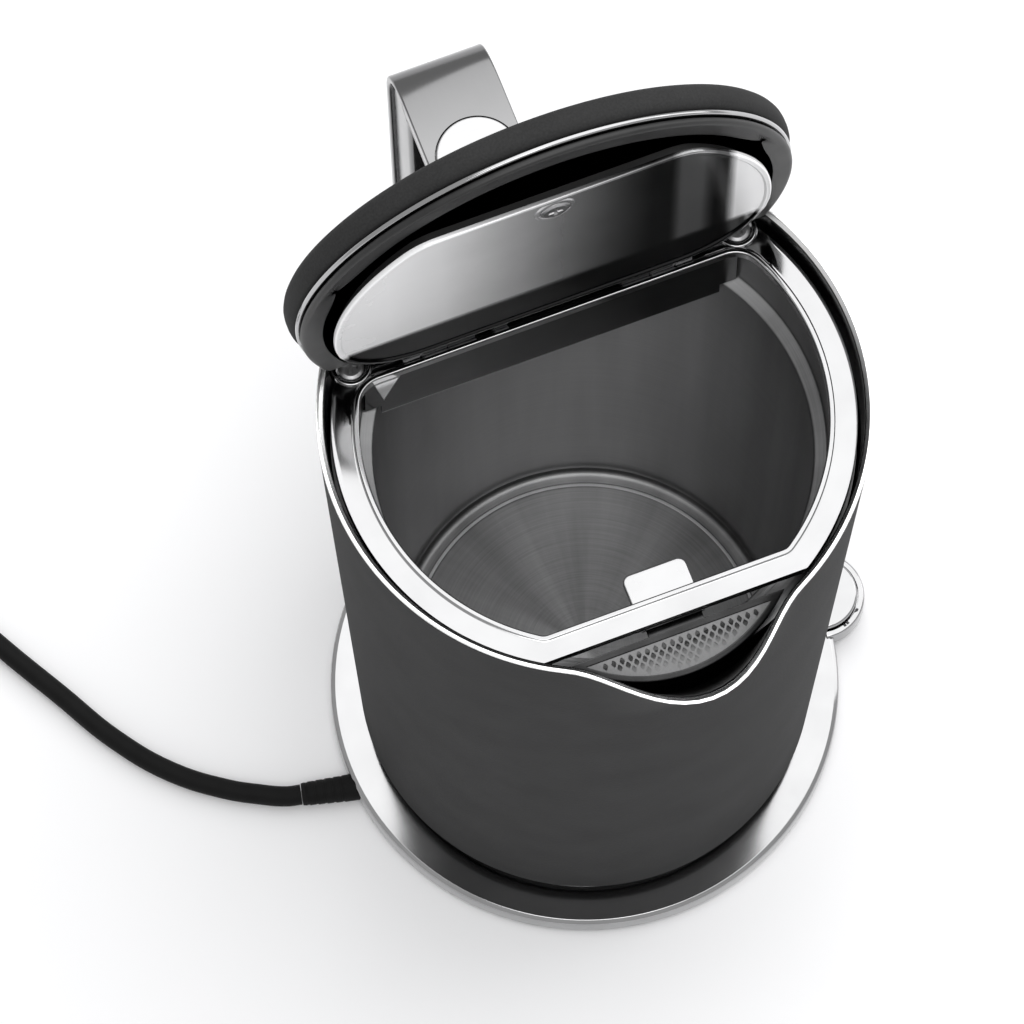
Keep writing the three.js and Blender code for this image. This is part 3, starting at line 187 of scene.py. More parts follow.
class Finish:
    """A material: a Principled shader and the nodes that feed it."""

    def __init__(self, name, roughness=0.5, metallic=0.0, **constants):
        self.material = bpy.data.materials.new(name)
        self.material.use_nodes = True
        self.tree = self.material.node_tree
        self.shader = self.tree.nodes["Principled BSDF"]
        self.feed("Roughness", roughness)
        self.feed("Metallic", metallic)
        for socket, value in constants.items():
            self.feed(socket.replace("_", " "), value)
        self.place = self.node("ShaderNodeTexCoord", output="Object")

    def node(self, kind, settings=None, inputs=None, output=0):
        """Adds a node: its settings first, then its sockets' values or links."""
        made = self.tree.nodes.new(kind)
        for key, value in (settings or {}).items():
            setattr(made, key, value)
        for key, value in (inputs or {}).items():
            self.join(made.inputs[key], value)
        return Signal(self, made.outputs[output])

    def join(self, socket, value):
        if isinstance(value, Signal):
            self.tree.links.new(value.socket, socket)
        else:
            socket.default_value = value

    def feed(self, socket, value):
        self.join(self.shader.inputs[socket], value)

    def parts(self):
        """The place on the piece as three values."""
        split = self.tree.nodes.new("ShaderNodeSeparateXYZ")
        self.join(split.inputs[0], self.place)
        return [Signal(self, out) for out in split.outputs]

    def vector(self, x, y, z):
        return self.node("ShaderNodeCombineXYZ", inputs={0: x, 1: y, 2: z})

    def noise(self, scale, detail=3.0, at=None):
        """Noise from 0 to 1 with about `scale` patches in a metre."""
        inputs = {"Vector": at or self.place, "Scale": scale, "Detail": detail}
        return self.node("ShaderNodeTexNoise", inputs=inputs | {"Roughness": 0.5})

    def between(self, value, from_low, from_high, to_low, to_high):
        inputs = {1: from_low, 2: from_high, 3: to_low, 4: to_high, 0: value}
        return self.node("ShaderNodeMapRange", {"clamp": True}, inputs)

    def blend(self, share, one, other):
        """A colour between two others."""
        inputs = {0: share, 6: (*one, 1), 7: (*other, 1)}
        return self.node("ShaderNodeMix", {"data_type": "RGBA"}, inputs, output=2)

    def shade(self, share, dark, light):
        """Colours the piece between two greys."""
        self.feed("Base Color", self.blend(share, grey(dark), grey(light)))

    def bump(self, height, distance, strength):
        inputs = {"Height": height, "Distance": distance, "Strength": strength}
        self.feed("Normal", self.node("ShaderNodeBump", inputs=inputs))


def grey(level):
    return (level, level, level * 1.01)


def soft_touch():
    finish = Finish("soft_touch", Specular_IOR_Level=0.1)
    grain = finish.noise(1500, 4.0)
    cloud = finish.noise(55, 4.0)
    finish.shade(grain * 0.6 + cloud * 0.4, 0.012, 0.05)
    finish.feed("Roughness", 0.62 + grain * 0.2)
    finish.bump(grain, 0.15 * MM, 0.8)
    return finish.material


def black_plastic():
    finish = Finish("black_plastic")
    grain = finish.noise(2600, 2.0)
    cloud = finish.noise(90, 3.0)
    finish.shade(cloud, 0.0084, 0.018)
    finish.feed("Roughness", 0.32 + cloud * 0.12)
    finish.bump(grain, 0.03 * MM, 0.4)
    return finish.material


def rubber():
    finish = Finish("black_rubber", Specular_IOR_Level=0.12)
    grain = finish.noise(3200, 3.0)
    cloud = finish.noise(160, 3.0)
    finish.shade(cloud, 0.004, 0.009)
    finish.feed("Roughness", 0.5 + grain * 0.2)
    finish.bump(grain, 0.05 * MM, 0.5)
    return finish.material


def pan_steel():
    """Polished pan with what it mirrors drawn on it: light towards both ends, dark at the hinge."""
    finish = Finish("pan_steel", metallic=1.0)
    x, _, z = finish.parts()
    haze = finish.noise(70, 4.0)
    left = finish.between(x, -52 * MM, 28 * MM, 1.3, 0.0)
    right = finish.between(x, 49 * MM, 52 * MM, 0, 1)
    strip_start = finish.between(x, 33 * MM, 36 * MM, 0, 0.25)
    strip = strip_start * finish.between(x, 42 * MM, 46 * MM, 1, 0)
    clear = finish.between(z, 257 * MM, 260 * MM, 0, 1)
    bright = (left + right + strip + haze * 0.06) * clear
    finish.shade(bright, 0.035, 0.98)
    finish.feed("Metallic", 1 - bright * 0.8)
    finish.feed("Roughness", 0.1 + haze * 0.08 + bright * 0.1)
    return finish.material


def seal_rubber():
    finish = Finish("seal_rubber", Specular_IOR_Level=0.4)
    cloud = finish.noise(160, 3.0)
    finish.shade(cloud, 0.014, 0.026)
    finish.feed("Roughness", 0.36 + cloud * 0.14)
    finish.bump(cloud, 0.05 * MM, 0.3)
    return finish.material


def chrome(name, dark, light, rough):
    finish = Finish(name, metallic=1.0)
    haze = finish.noise(70, 4.0)
    lines = finish.noise(1400, 2.0)
    finish.shade(haze, dark, light)
    finish.feed("Roughness", rough + haze * 0.06)
    finish.bump(lines, 0.003 * MM, 0.3)
    return finish.material


def polished_steel():
    finish = Finish("polished_steel", metallic=1.0)
    x, y, z = finish.parts()
    lines = finish.noise(1.0, 3.0, at=finish.vector(x * 2600, y * 60, z * 60))
    haze = finish.noise(60, 4.0)
    # painted reflection: the metal is coloured darker towards the handle's far end
    far = finish.between(y, HANDLE_BACK - 30 * MM, HANDLE_BACK - 6 * MM, 0, 1)
    finish.shade(far * 0.8 + haze * 0.2, 0.26, 0.16)
    finish.feed("Roughness", 0.1 + lines * 0.1 + haze * 0.05)
    finish.bump(lines, 0.006 * MM, 0.4)
    return finish.material


def brushed_vessel():
    """Stainless steel spun on a lathe: fine rings round the axis, with painted highlights: a bright
    wedge of painted reflection on the floor, a fainter one on the wall, and a painted bright line
    on the bead round the floor.
    """
    finish = Finish("brushed_vessel", metallic=1.0)
    x, y, z = finish.parts()
    reach = x.sum("SQRT", x * x + y * y)
    turn = y.sum("ARCTAN2", y, x)
    rings = finish.noise(1.0, 3.0, at=finish.vector(reach * 2400, z * 2400, turn * 1.5))
    streaks = finish.noise(1.0, 4.0, at=finish.vector(turn * 5, reach * 12, z * 6))
    floor_turn, wall_turn, line_half = 2.5, -1.5, 0.45 * MM
    floor = z < LINER_FLOOR + 1.5 * MM
    # painted highlight: bright wedges of painted reflection, one on the floor and a weaker one on
    # the wall
    floor_painted_highlight = x.sum("POWER", x.sum("COSINE", turn + floor_turn) * 0.5 + 0.5, 5)
    wall_painted_highlight = x.sum("POWER", x.sum("COSINE", turn + wall_turn) * 0.5 + 0.5, 5)
    painted_highlight = floor * floor_painted_highlight + (1 - floor) * wall_painted_highlight * 0.5
    # painted highlight: a bright line painted on the bead round the floor
    line = (reach > FLOOR_LINE - line_half) * (reach < FLOOR_LINE + line_half) * floor
    shade = rings * 0.15 + streaks * 0.25 + painted_highlight * 0.75 + line * 0.6
    finish.shade(shade, 0.08, 1.0)
    finish.feed("Roughness", 0.3 + rings * 0.14)
    finish.feed("Metallic", 1 - (painted_highlight + line) * 0.95)
    finish.bump(rings, 0.02 * MM, 0.6)
    return finish.material


def brushed_disc():
    """Brushed steel with straight lines along X."""
    finish = Finish("brushed_disc", metallic=1.0)
    x, y, z = finish.parts()
    lines = finish.noise(1.0, 3.0, at=finish.vector(x * 120, y * 5200, z * 800))
    finish.shade(lines, 0.42, 0.62)
    finish.feed("Roughness", 0.3 + lines * 0.18)
    finish.bump(lines, 0.012 * MM, 0.6)
    return finish.material


def dark_steel(name, edge_low=None, painted_highlight_above=None):
    """Glossy dark steel. Given a low height, it is lighter grey below it; given a high height, it
    is white above it, a painted highlight along its top edge.
    """
    finish = Finish(name, metallic=1.0)
    x, y, z = finish.parts()
    haze = finish.noise(120, 4.0)
    lines = finish.noise(1.0, 3.0, at=finish.vector(x * 300, y * 300, z * 3500))
    colour = finish.blend(haze, grey(0.03), grey(0.075))
    if edge_low is not None or painted_highlight_above is not None:
        # painted highlight: a white top edge; a lower edge is only made lighter grey
        edge = z < edge_low if painted_highlight_above is None else z > painted_highlight_above
        bright = grey(0.5) if painted_highlight_above is None else grey(1.0)
        inputs = {0: edge, 6: colour, 7: (*bright, 1)}
        colour = finish.node("ShaderNodeMix", {"data_type": "RGBA"}, inputs, output=2)
    finish.feed("Base Color", colour)
    finish.feed("Roughness", 0.16 + lines * 0.12)
    finish.bump(lines, 0.01 * MM, 0.4)
    return finish.material


def cast_metal(name, level):
    finish = Finish(name, metallic=1.0)
    grain = finish.noise(1500, 4.0)
    finish.shade(grain, level * 0.7, level * 1.2)
    finish.feed("Roughness", 0.25 + grain * 0.25)
    finish.bump(grain, 0.03 * MM, 0.6)
    return finish.material


def brass():
    finish = Finish("brass", metallic=1.0)
    haze = finish.noise(900, 3.0)
    finish.feed("Base Color", finish.blend(haze, (0.5, 0.37, 0.15), (0.68, 0.54, 0.26)))
    finish.feed("Roughness", 0.2 + haze * 0.15)
    return finish.material


def floor_paper():
    finish = Finish("floor_paper", roughness=0.7, Specular_IOR_Level=0.1)
    cloud = finish.noise(8, 2.0)
    finish.shade(cloud, 0.95, 0.97)
    return finish.material


# each look is a material and the name of its slot
SOFT_TOUCH = soft_touch(), "soft_touch"
BLACK_PLASTIC = black_plastic(), "black_plastic"
RUBBER = rubber(), "black_rubber"
SEAL_RUBBER = seal_rubber(), "black_rubber"
CHROME = chrome("chrome", 0.37, 0.46, 0.07), "chrome"
TAB_STEEL = chrome("tab_steel", 0.42, 0.5, 0.25), "chrome"
POLISHED = polished_steel(), "polished_steel"
MIRROR_STEEL = pan_steel(), "polished_steel"
# the rim's lip is coloured white above this height as a painted highlight
RIM_STEEL = dark_steel("rim_steel", painted_highlight_above=RIM - 0.9 * MM), "polished_steel"
BAFFLE_STEEL = dark_steel("baffle_steel", low("rear_baffle").z + 0.5 * MM), "polished_steel"
FILTER_STEEL = dark_steel("filter_steel"), "black_plastic"
VESSEL = brushed_vessel(), "brushed_steel"
BRUSHED = brushed_disc(), "brushed_steel"
SHEET_STEEL = cast_metal("sheet_steel", 0.2), "brushed_steel"
CAST_METAL = cast_metal("cast_metal", 0.42), "aluminium"
BRASS = brass(), "brass"


# ================= shaping helpers =================
def rounded(corners, steps=5):
    """A path of (a, b, rounding) corners as points, each corner an arc of its rounding."""
    points = []
    count = len(corners)
    for i, (a, b, rounding) in enumerate(corners):
        here = Vector((a, b))
        if rounding == 0:
            points.append(here)
            continue
        back = (Vector(corners[i - 1][:2]) - here).normalized()
        on = (Vector(corners[(i + 1) % count][:2]) - here).normalized()
        half = back.angle(on) / 2
        centre = here + (back + on).normalized() * (rounding / math.sin(half))
        start = here + back * (rounding / math.tan(half)) - centre
        sweep = start.angle_signed(here + on * (rounding / math.tan(half)) - centre)
        for k in range(steps + 1):
            turned_by = Matrix.Rotation(-sweep * k / steps, 2)
            points.append(centre + turned_by @ start)
    return points


def outward(bm):
    """Makes all faces look out of the shape."""
    bmesh.ops.recalc_face_normals(bm, faces=bm.faces)
    return bm


def corners_of(made):
    """The vertices among what an operator made."""
    return [part for part in made["geom"] if isinstance(part, bmesh.types.BMVert)]


def divided(bm, place, way, **settings):
    """Cuts all faces along a plane through a place, square to a way."""
    everything = bm.verts[:] + bm.edges[:] + bm.faces[:]
    return bmesh.ops.bisect_plane(bm, geom=everything, plane_co=place, plane_no=way, **settings)


def turned(corners, steps=TURN_STEPS, closed=True):
    """A profile of (radius, height, rounding) corners turned about Z."""
    bm = bmesh.new()
    points = rounded(corners)
    verts = [bm.verts.new((max(p.x, 0), 0, p.y)) for p in points]
    edges = [bm.edges.new(pair) for pair in zip(verts, verts[1:])]
    if closed:
        edges.append(bm.edges.new((verts[-1], verts[0])))
    settings = {"cent": (0, 0, 0), "axis": (0, 0, 1), "angle": math.tau, "steps": steps}
    bmesh.ops.spin(bm, geom=verts + edges, use_merge=True, **settings)
    bmesh.ops.remove_doubles(bm, verts=bm.verts, dist=1e-6)
    return outward(bm)


def moved(bm, place=(0, 0, 0), turn=0.0, axis="Z"):
    """Turns a shape about an axis through the origin, then moves it."""
    matrix = Matrix.Translation(place) @ Matrix.Rotation(turn, 4, axis)
    bmesh.ops.transform(bm, matrix=matrix, verts=bm.verts)
    return bm


def placed(name, data):
    """Puts an object of some data into the scene."""
    made = bpy.data.objects.new(name, data)
    bpy.context.scene.collection.objects.link(made)
    return made


def piece(name, bm, body, look, nodes=(), sharp=32):
    """Makes an object of a finished shape, which rides on a body and stands for CAD nodes."""
    mesh = bpy.data.meshes.new(name)
    bm.to_mesh(mesh)
    bm.free()
    mesh.shade_smooth()
    mesh.set_sharp_from_angle(angle=math.radians(sharp))
    mesh.materials.append(look[0])
    made = placed(name, mesh)
    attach(made, body)
    if nodes:
        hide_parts(*nodes)
    return made


class Pen:
    """Draws a closed outline in a level plane with straight stretches and spun arcs."""

    def __init__(self, bm, x, y, z=0.0):
        self.bm = bm
        self.z = z
        self.at = bm.verts.new((x, y, z))
        self.loop = [self.at]

    def line(self, x, y):
        end = self.bm.verts.new((x, y, self.z))
        self.bm.edges.new((self.at, end))
        self.at = end
        self.loop.append(end)

    def arc(self, x, y, turn, steps):
        """Goes round a centre by an angle, counterclockwise if it is positive."""
        centre = Vector((x, y, self.z))
        start = self.at.co - centre
        for k in range(1, steps + 1):
            point = centre + Matrix.Rotation(turn * k / steps, 3, "Z") @ start
            self.line(point.x, point.y)

    def close(self):
        if (self.at.co - self.loop[0].co).length < 1e-6:
            self.loop.pop()
            bmesh.ops.weld_verts(self.bm, targetmap={self.at: self.loop[0]})
        else:
            self.bm.edges.new((self.at, self.loop[0]))
        return self.loop


def loop_edges(bm, loop):
    return [bm.edges.get(pair) for pair in zip(loop, loop[1:] + loop[:1])]


def extruded(bm, loop):
    """Extrudes a loop, and gives the new one, which still lies on the old."""
    made = bmesh.ops.extrude_edge_only(bm, edges=loop_edges(bm, loop))
    fresh = set(corners_of(made))
    return [next(e.other_vert(v) for e in v.link_edges if e.other_vert(v) in fresh) for v in loop]


def step(bm, loop, out, up):
    """Extrudes a counterclockwise loop, and moves the new one outwards in its plane and up."""
    moves = []
    for i, vert in enumerate(loop):
        before, after = loop[i - 1].co, loop[(i + 1) % len(loop)].co
        back = (vert.co - before).normalized()
        on = (after - vert.co).normalized()
        along = (back + on).normalized()
        square = Vector((along.y, -along.x, 0)) / max(along.dot(on), 0.5)
        moves.append(square * out + Vector((0, 0, up)))
    following = extruded(bm, loop)
    for vert, move in zip(following, moves):
        vert.co += move
    return following


def follow(bm, loop, corners):
    """Steps a loop along a path of (out, up, rounding) corners that starts at (0, 0)."""
    path = rounded([(0, 0, 0), *corners])
    for here, there in zip(path, path[1:]):
        loop = step(bm, loop, there.x - here.x, there.y - here.y)
    return loop


def bridge(bm, one, other):
    edges = loop_edges(bm, one) + loop_edges(bm, other)
    return bmesh.ops.bridge_loops(bm, edges=edges)


def cap(bm, loop):
    bmesh.ops.contextual_create(bm, geom=loop)


def plate(bm, loop, *sides):
    """Closes an outline on each side by a face, reached along that side's path of corners."""
    for corners in sides:
        cap(bm, follow(bm, loop, corners))
    return outward(bm)


def double_d(bm, z, radius, rear, rear_round, front=None, front_round=0.0, steps=120):
    """Outline of a disc with a straight rear edge, and a straight front edge if it is given."""
    def corner(edge, rounding):
        y = abs(edge) - rounding
        return Vector((math.sqrt((radius - rounding) ** 2 - y * y), math.copysign(y, edge)))

    back = corner(rear, rear_round)
    back_turn = math.atan2(back.y, back.x)
    pen = Pen(bm, -radius * math.cos(back_turn), radius * math.sin(back_turn), z)
    if front is None:
        pen.arc(0, 0, math.pi + 2 * back_turn, steps)
    else:
        nose = corner(front, front_round)
        nose_turn = -math.atan2(nose.y, nose.x)
        side_turn = back_turn + nose_turn
        pen.arc(0, 0, side_turn, steps // 3)
        pen.arc(-nose.x, nose.y, math.pi / 2 - nose_turn, ARC_STEPS)
        pen.line(nose.x, front)
        pen.arc(nose.x, nose.y, math.pi / 2 - nose_turn, ARC_STEPS)
        pen.arc(0, 0, side_turn, steps // 3)
    pen.arc(back.x, back.y, math.pi / 2 - back_turn, ARC_STEPS)
    pen.line(-back.x, rear)
    pen.arc(-back.x, back.y, math.pi / 2 - back_turn, ARC_STEPS)
    return pen.close()


def push_spout(bm, beyond):
    """Moves the wall outwards to form the spout."""
    for vert in bm.verts:
        x, y, z = vert.co
        reach = math.hypot(x, y)
        turn = abs(math.atan2(x, -y))
        rise = (z - (RIM - SPOUT_DEPTH)) / SPOUT_DEPTH
        if reach < beyond or turn >= SPOUT_HALF_ANGLE or rise <= 0:
            continue
        crest = math.cos(math.pi / 2 * turn / SPOUT_HALF_ANGLE) ** 2
        scale = 1 + SPOUT_REACH * crest * rise**1.6 / reach
        vert.co.x *= scale
        vert.co.y *= scale


def screw_head(radius, height, drive=0.55):
    """Domed head with a cross-shaped drive, its top facing +Z and its underside at the origin."""
    bm = turned([
        (0, 0, 0),
        (radius, 0, 0.15 * height),
        (radius, height * 0.55, 0.25 * height),
        (radius * 0.75, height, 0.2 * height),
        (0, height * 1.05, 0),
    ], SMALL_STEPS, closed=False)
    long, slim = radius * drive, radius * 0.14
    for reach in (long, slim, -slim, -long):
        for square in ((1, 0, 0), (0, 1, 0)):
            divided(bm, Vector(square) * reach, square, dist=1e-7)

    def in_cross(face):
        at = face.calc_center_median()
        near, far = sorted((abs(at.x), abs(at.y)))
        return near < slim and far < long and face.normal.z > 0.5

    drive_faces = [face for face in bm.faces if in_cross(face)]
    floor = corners_of(bmesh.ops.extrude_face_region(bm, geom=drive_faces))
    bmesh.ops.delete(bm, geom=drive_faces, context="FACES")
    bmesh.ops.translate(bm, verts=floor, vec=(0, 0, -0.55 * height))
    bmesh.ops.scale(bm, verts=floor, vec=(0.7, 0.7, 1))
    return outward(bm)


# ================= cord and plug =================
CORD_DIAMETER = 6 * MM
CORD_HEIGHT = 3.1 * MM
CORD_START = Vector((-89.14, -1.59, 3.1)) * MM
CORD_RUN = [
    (0, 0),
    (-4, 0.95),
    (-12.2, 4.9),
    (-19.4, 9.1),
    (-32.8, 19.9),
    (-44.6, 34.9),
    (-55.1, 53.9),
    (-65.6, 72.9),
    (-74.8, 91.5),
    (-81, 110),
    (-84.9, 128),
]
COIL_MIDDLE = Vector((-210, 150)) * MM
COIL_RADIUS = 36 * MM
COIL_TURNS = 2.5
COIL_PITCH = 6.15 * MM
COIL_STEPS = 16  # points in each turn
TAIL_END = Vector((-246, 77.9, 18.475)) * MM
TAIL_STEPS = 5


def cord_points():
    points = [CORD_START + Vector((x, y, 0)) * MM for x, y in CORD_RUN]
    for k in range(int(COIL_TURNS * COIL_STEPS) + 1):
        turn = math.tau * k / COIL_STEPS
        rise = COIL_PITCH * k / COIL_STEPS
        x = COIL_MIDDLE.x + COIL_RADIUS * math.cos(turn)
        y = COIL_MIDDLE.y + COIL_RADIUS * math.sin(turn)
        points.append(Vector((x, y, CORD_HEIGHT + rise)))
    top = points[-1]
    points += [top.lerp(TAIL_END, k / TAIL_STEPS) for k in range(1, TAIL_STEPS + 1)]
    return points


def cord():
    points = cord_points()
    data = bpy.data.curves.new("cord", "CURVE")
    data.dimensions = "3D"
    data.bevel_depth = CORD_DIAMETER / 2
    data.bevel_resolution = 5
    data.resolution_u = 6
    data.use_fill_caps = True
    data.materials.append(RUBBER[0])
    line = data.splines.new("BEZIER")
    line.bezier_points.add(len(points) - 1)
    for knot, point in zip(line.bezier_points, points):
        knot.co = point
        knot.handle_left_type = "AUTO"
        knot.handle_right_type = "AUTO"
    made = placed("cord", data)
    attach(made, "base")
    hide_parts("power_cord", "cord_coil", "cord_tail")
    plug_pieces = [plug(), *plug_pins()]


PLUG_RADIUS = 18 * MM
PLUG_LENGTH = 46 * MM


def plug():
    """Round moulded plug with a ribbed neck, lying along -Y."""
    neck = []
    for k in range(5):
        start = (1.2 + 2.6 * k) * MM
        wide = (4.2 + 0.3 * k) * MM
        neck += [(wide, start, 0.3 * MM), (wide, start + 1.6 * MM, 0.3 * MM)]
        neck += [(wide - 0.8 * MM, start + 1.7 * MM, 0), (wide - 0.8 * MM, start + 2.5 * MM, 0)]
    bm = turned([
        (0, 0, 0),
        *neck,
        (10.5 * MM, 17.5 * MM, 2 * MM),
        (12.5 * MM, 25 * MM, 2 * MM),
        (PLUG_RADIUS, 34 * MM, 3 * MM),
        (PLUG_RADIUS, PLUG_LENGTH, 1 * MM),
        (0, PLUG_LENGTH, 0),
    ], 64, closed=False)
    moved(bm, turn=math.pi / 2, axis="X")
    moved(bm, TAIL_END)
    return piece("plug", bm, "base", RUBBER, ["plug_body"])


def plug_pins():
    pins = []
    for node in ("plug_pin_1", "plug_pin_2"):
        first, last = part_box(node)
        radius = (last.x - first.x) / 2
        length = last.y - first.y
        bm = turned([
            (0, 0, 0),
            (radius * 0.8, 0, 0),
            (radius * 0.8, length * 0.45, 0),
            (radius, length * 0.46, 0.1 * MM),
            (radius, length, radius * 0.6),
            (0, length, 0),
        ], SMALL_STEPS, closed=False)
        moved(bm, turn=math.pi / 2, axis="X")
        moved(bm, ((first.x + last.x) / 2, last.y, (first.z + last.z) / 2))
        pins.append(piece(node.replace("plug_pin", "pin"), bm, "base", BRASS, [node]))
    return pins


# ================= cutting =================
def loose(bm):
    mesh = bpy.data.meshes.new("loose")
    bm.to_mesh(mesh)
    bm.free()
    return placed("loose", mesh)


def cut(bm, *tools):
    """Takes closed shapes out of another closed shape."""
    body = loose(bm)
    for tool in tools:
        taken = loose(tool)
        modifier = body.modifiers.new("cut", "BOOLEAN")
        modifier.object = taken
        graph = bpy.context.evaluated_depsgraph_get()
        mesh = bpy.data.meshes.new_from_object(body.evaluated_get(graph))
        body.modifiers.clear()
        body.data = mesh
        bpy.data.objects.remove(taken)
    result = bmesh.new()
    result.from_mesh(body.data)
    bpy.data.objects.remove(body)
    return result


def block(first, last, bevel=0.0):
    """A box between two corners, its edges rounded."""
    bm = bmesh.new()
    bmesh.ops.create_cube(bm, size=1)
    first, last = Vector(first), Vector(last)
    bmesh.ops.scale(bm, verts=bm.verts, vec=last - first)
    bmesh.ops.translate(bm, verts=bm.verts, vec=(first + last) / 2)
    if bevel:
        settings = {"offset": bevel, "segments": 3, "profile": 0.5, "material": -1}
        bmesh.ops.bevel(bm, geom=bm.edges[:], affect="EDGES", **settings)
    return bm


def rod(radius, first, last, place=(0, 0), axis="Z", rounding=0.0, steps=SMALL_STEPS):
    """A round bar along an axis between two places on it; `place` is its middle across it."""
    length = last - first
    profile = [(0, 0, 0), (radius, 0, rounding), (radius, length, rounding), (0, length, 0)]
    bm = turned(profile, steps, closed=False)
    if axis == "X":
        return moved(bm, (first, *place), math.pi / 2, "Y")
    if axis == "Y":
        return moved(bm, (place[0], last, place[1]), math.pi / 2, "X")
    return moved(bm, (*place, first))


def middle(node):
    return (low(node) + high(node)) / 2


# ================= base =================
BASE_FOOT = low("base_top_shell").z
SLEEVE_WALL = Vector((-BASE_RADIUS, -4.9 * MM, 0))  # where the cord's middle passes the base's wall
SLEEVE_TURN = math.radians(12.5)
BASE_EDGE = 7 * MM
BASE_WALL = 2 * MM
SOCKET_RADIUS = 15 * MM
SWITCH = middle("power_button")
SWITCH_RADIUS = high("power_button").y
LOBE_RADIUS = high("base_top_shell").x - SWITCH.x
LOBE_TOP = 8.8 * MM


def aslant(bm):
    """Turns the sleeve, or a hole for it, about the place where it passes the base's wall."""
    moved(bm, -SLEEVE_WALL)
    return moved(bm, SLEEVE_WALL, -SLEEVE_TURN)


def sleeve_hole(radius, first, last):
    """What is taken out for the sleeve; its ends are measured from the base's wall."""
    across = (SLEEVE_WALL.y, CORD_HEIGHT)
    return aslant(rod(radius, first - BASE_RADIUS, last - BASE_RADIUS, across, "X"))


def base_deck():
    ceiling = BASE_TOP - BASE_WALL
    hole = SOCKET_RADIUS + 0.5 * MM
    inside = BASE_RADIUS - BASE_WALL
    bm = turned([
        (BASE_RADIUS, BASE_FOOT, 0.3 * MM),
        (BASE_RADIUS, BASE_EDGE, 0.9 * MM),
        (BASE_RADIUS - 1.3 * MM, BASE_EDGE + 0.8 * MM, 0.5 * MM),
        (BASE_RADIUS - 11.4 * MM, BASE_EDGE + 1.2 * MM, 0.3 * MM),
        (BASE_RADIUS - 13.4 * MM, BASE_TOP, 0.3 * MM),
        (hole, BASE_TOP, 0.4 * MM),
        (hole, ceiling, 0),
        (BASE_RADIUS - 14 * MM, ceiling, 0),
        (inside, BASE_EDGE - 2.2 * MM, 0),
        (inside, BASE_FOOT, 0),
    ])
    at_switch = {"place": (SWITCH.x, 0), "steps": MIDDLING_STEPS}
    lobe = rod(LOBE_RADIUS, BASE_FOOT, LOBE_TOP, rounding=0.7 * MM, **at_switch)
    well = rod(SWITCH_RADIUS + 0.5 * MM, BASE_FOOT + 1.3 * MM, RIM, **at_switch)
    sleeve = sleeve_hole(4.2 * MM, -3 * MM, 9 * MM)
    outside = cut(lobe, well.copy(), rod(inside, -RIM, RIM, steps=TURN_STEPS))
    piece("switch_lobe", outside, "base", CHROME)
    piece("base_deck", cut(bm, well, sleeve), "base", CHROME, ["base_top_shell"])


def power_button():
    top = high("power_button").z
    bm = turned([
        (0, low("power_button").z, 0),
        (SWITCH_RADIUS, low("power_button").z, 0.2 * MM),
        (SWITCH_RADIUS, top - 0.2 * MM, 0.9 * MM),
        (SWITCH_RADIUS - 3 * MM, top, 1 * MM),
        (0, top - 0.5 * MM, 0),
    ], MIDDLING_STEPS, closed=False)
    moved(bm, (SWITCH.x, SWITCH.y, 0))
    piece("power_cap", bm, "power_switch", CHROME, ["power_button"])


def connector_socket():
    top = high("base_connector_socket").z
    ceiling = BASE_TOP - BASE_WALL
    bm = turned([
        (0, ceiling - 4 * MM, 0),
        (SOCKET_RADIUS + 5 * MM, ceiling - 4 * MM, 0),
        (SOCKET_RADIUS + 5 * MM, ceiling - GAP, 0),
        (SOCKET_RADIUS, ceiling - GAP, 0.4 * MM),
        (SOCKET_RADIUS, top, 1.4 * MM),
        (10.5 * MM, top, 0.4 * MM),
        (10.5 * MM, top - 8 * MM, 0),
        (8.5 * MM, top - 8 * MM, 0),
        (8.5 * MM, top, 0.4 * MM),
        (3 * MM, top, 0.4 * MM),
        (3 * MM, top - 10 * MM, 0),
        (0, top - 10 * MM, 0),
    ], MIDDLING_STEPS, closed=False)
    piece("connector_socket", bm, "base", BLACK_PLASTIC, ["base_connector_socket"])


def base_underside():
    cover = high("base_lower_cover")
    first = low("base_lower_cover").z
    bm = turned([
        (0, first, 0),
        (22 * MM, first, 0),
        (22.6 * MM, first + 0.6 * MM, 0),
        (24.4 * MM, first + 0.6 * MM, 0),
        (25 * MM, first, 0),
        (cover.x - 6 * MM, first, 0),
        (cover.x - 5.4 * MM, first + 0.6 * MM, 0),
        (cover.x - 4.6 * MM, first + 0.6 * MM, 0),
        (cover.x - 4 * MM, first, 0),
        (cover.y, first, 0.4 * MM),
        (cover.y, cover.z, 0),
        (0, cover.z, 0),
    ], closed=False)
    lobe = rod(LOBE_RADIUS + GAP, -RIM, RIM, (SWITCH.x, 0), steps=MIDDLING_STEPS)
    sleeve = sleeve_hole(5.3 * MM, -BASE_RADIUS, 17 * MM)
    holes = [rod(3.5 * MM, -RIM, RIM, middle(f"base_screw_{i}").xy) for i in (1, 2, 3)]
    piece("base_cover", cut(bm, lobe, sleeve, *holes), "base", BLACK_PLASTIC, ["base_lower_cover"])
    for i in (1, 2, 3, 4):
        foot = f"base_foot_{i}"
        at = middle(foot)
        bm = turned([
            (0, 0.4 * MM, 0),
            (3.4 * MM, 0.4 * MM, 0),
            (3.8 * MM, 0, 0.1 * MM),
            (6 * MM, 0, 0.5 * MM),
            (6 * MM, 1.2 * MM, 0),
            (0, 1.2 * MM, 0),
        ], SMALL_STEPS, closed=False)
        moved(bm, (at.x, at.y, 0))
        piece(foot.replace("base_foot", "foot"), bm, "base", RUBBER, [foot])


def downward_screw(name, node, height, body):
    """Head of a screw that faces down."""
    at = middle(node)
    bm = screw_head(3.2 * MM, height)
    moved(bm, turn=math.pi, axis="X")
    moved(bm, (at.x, at.y, low(node).z + height))
    piece(name, bm, body, CAST_METAL, [node])


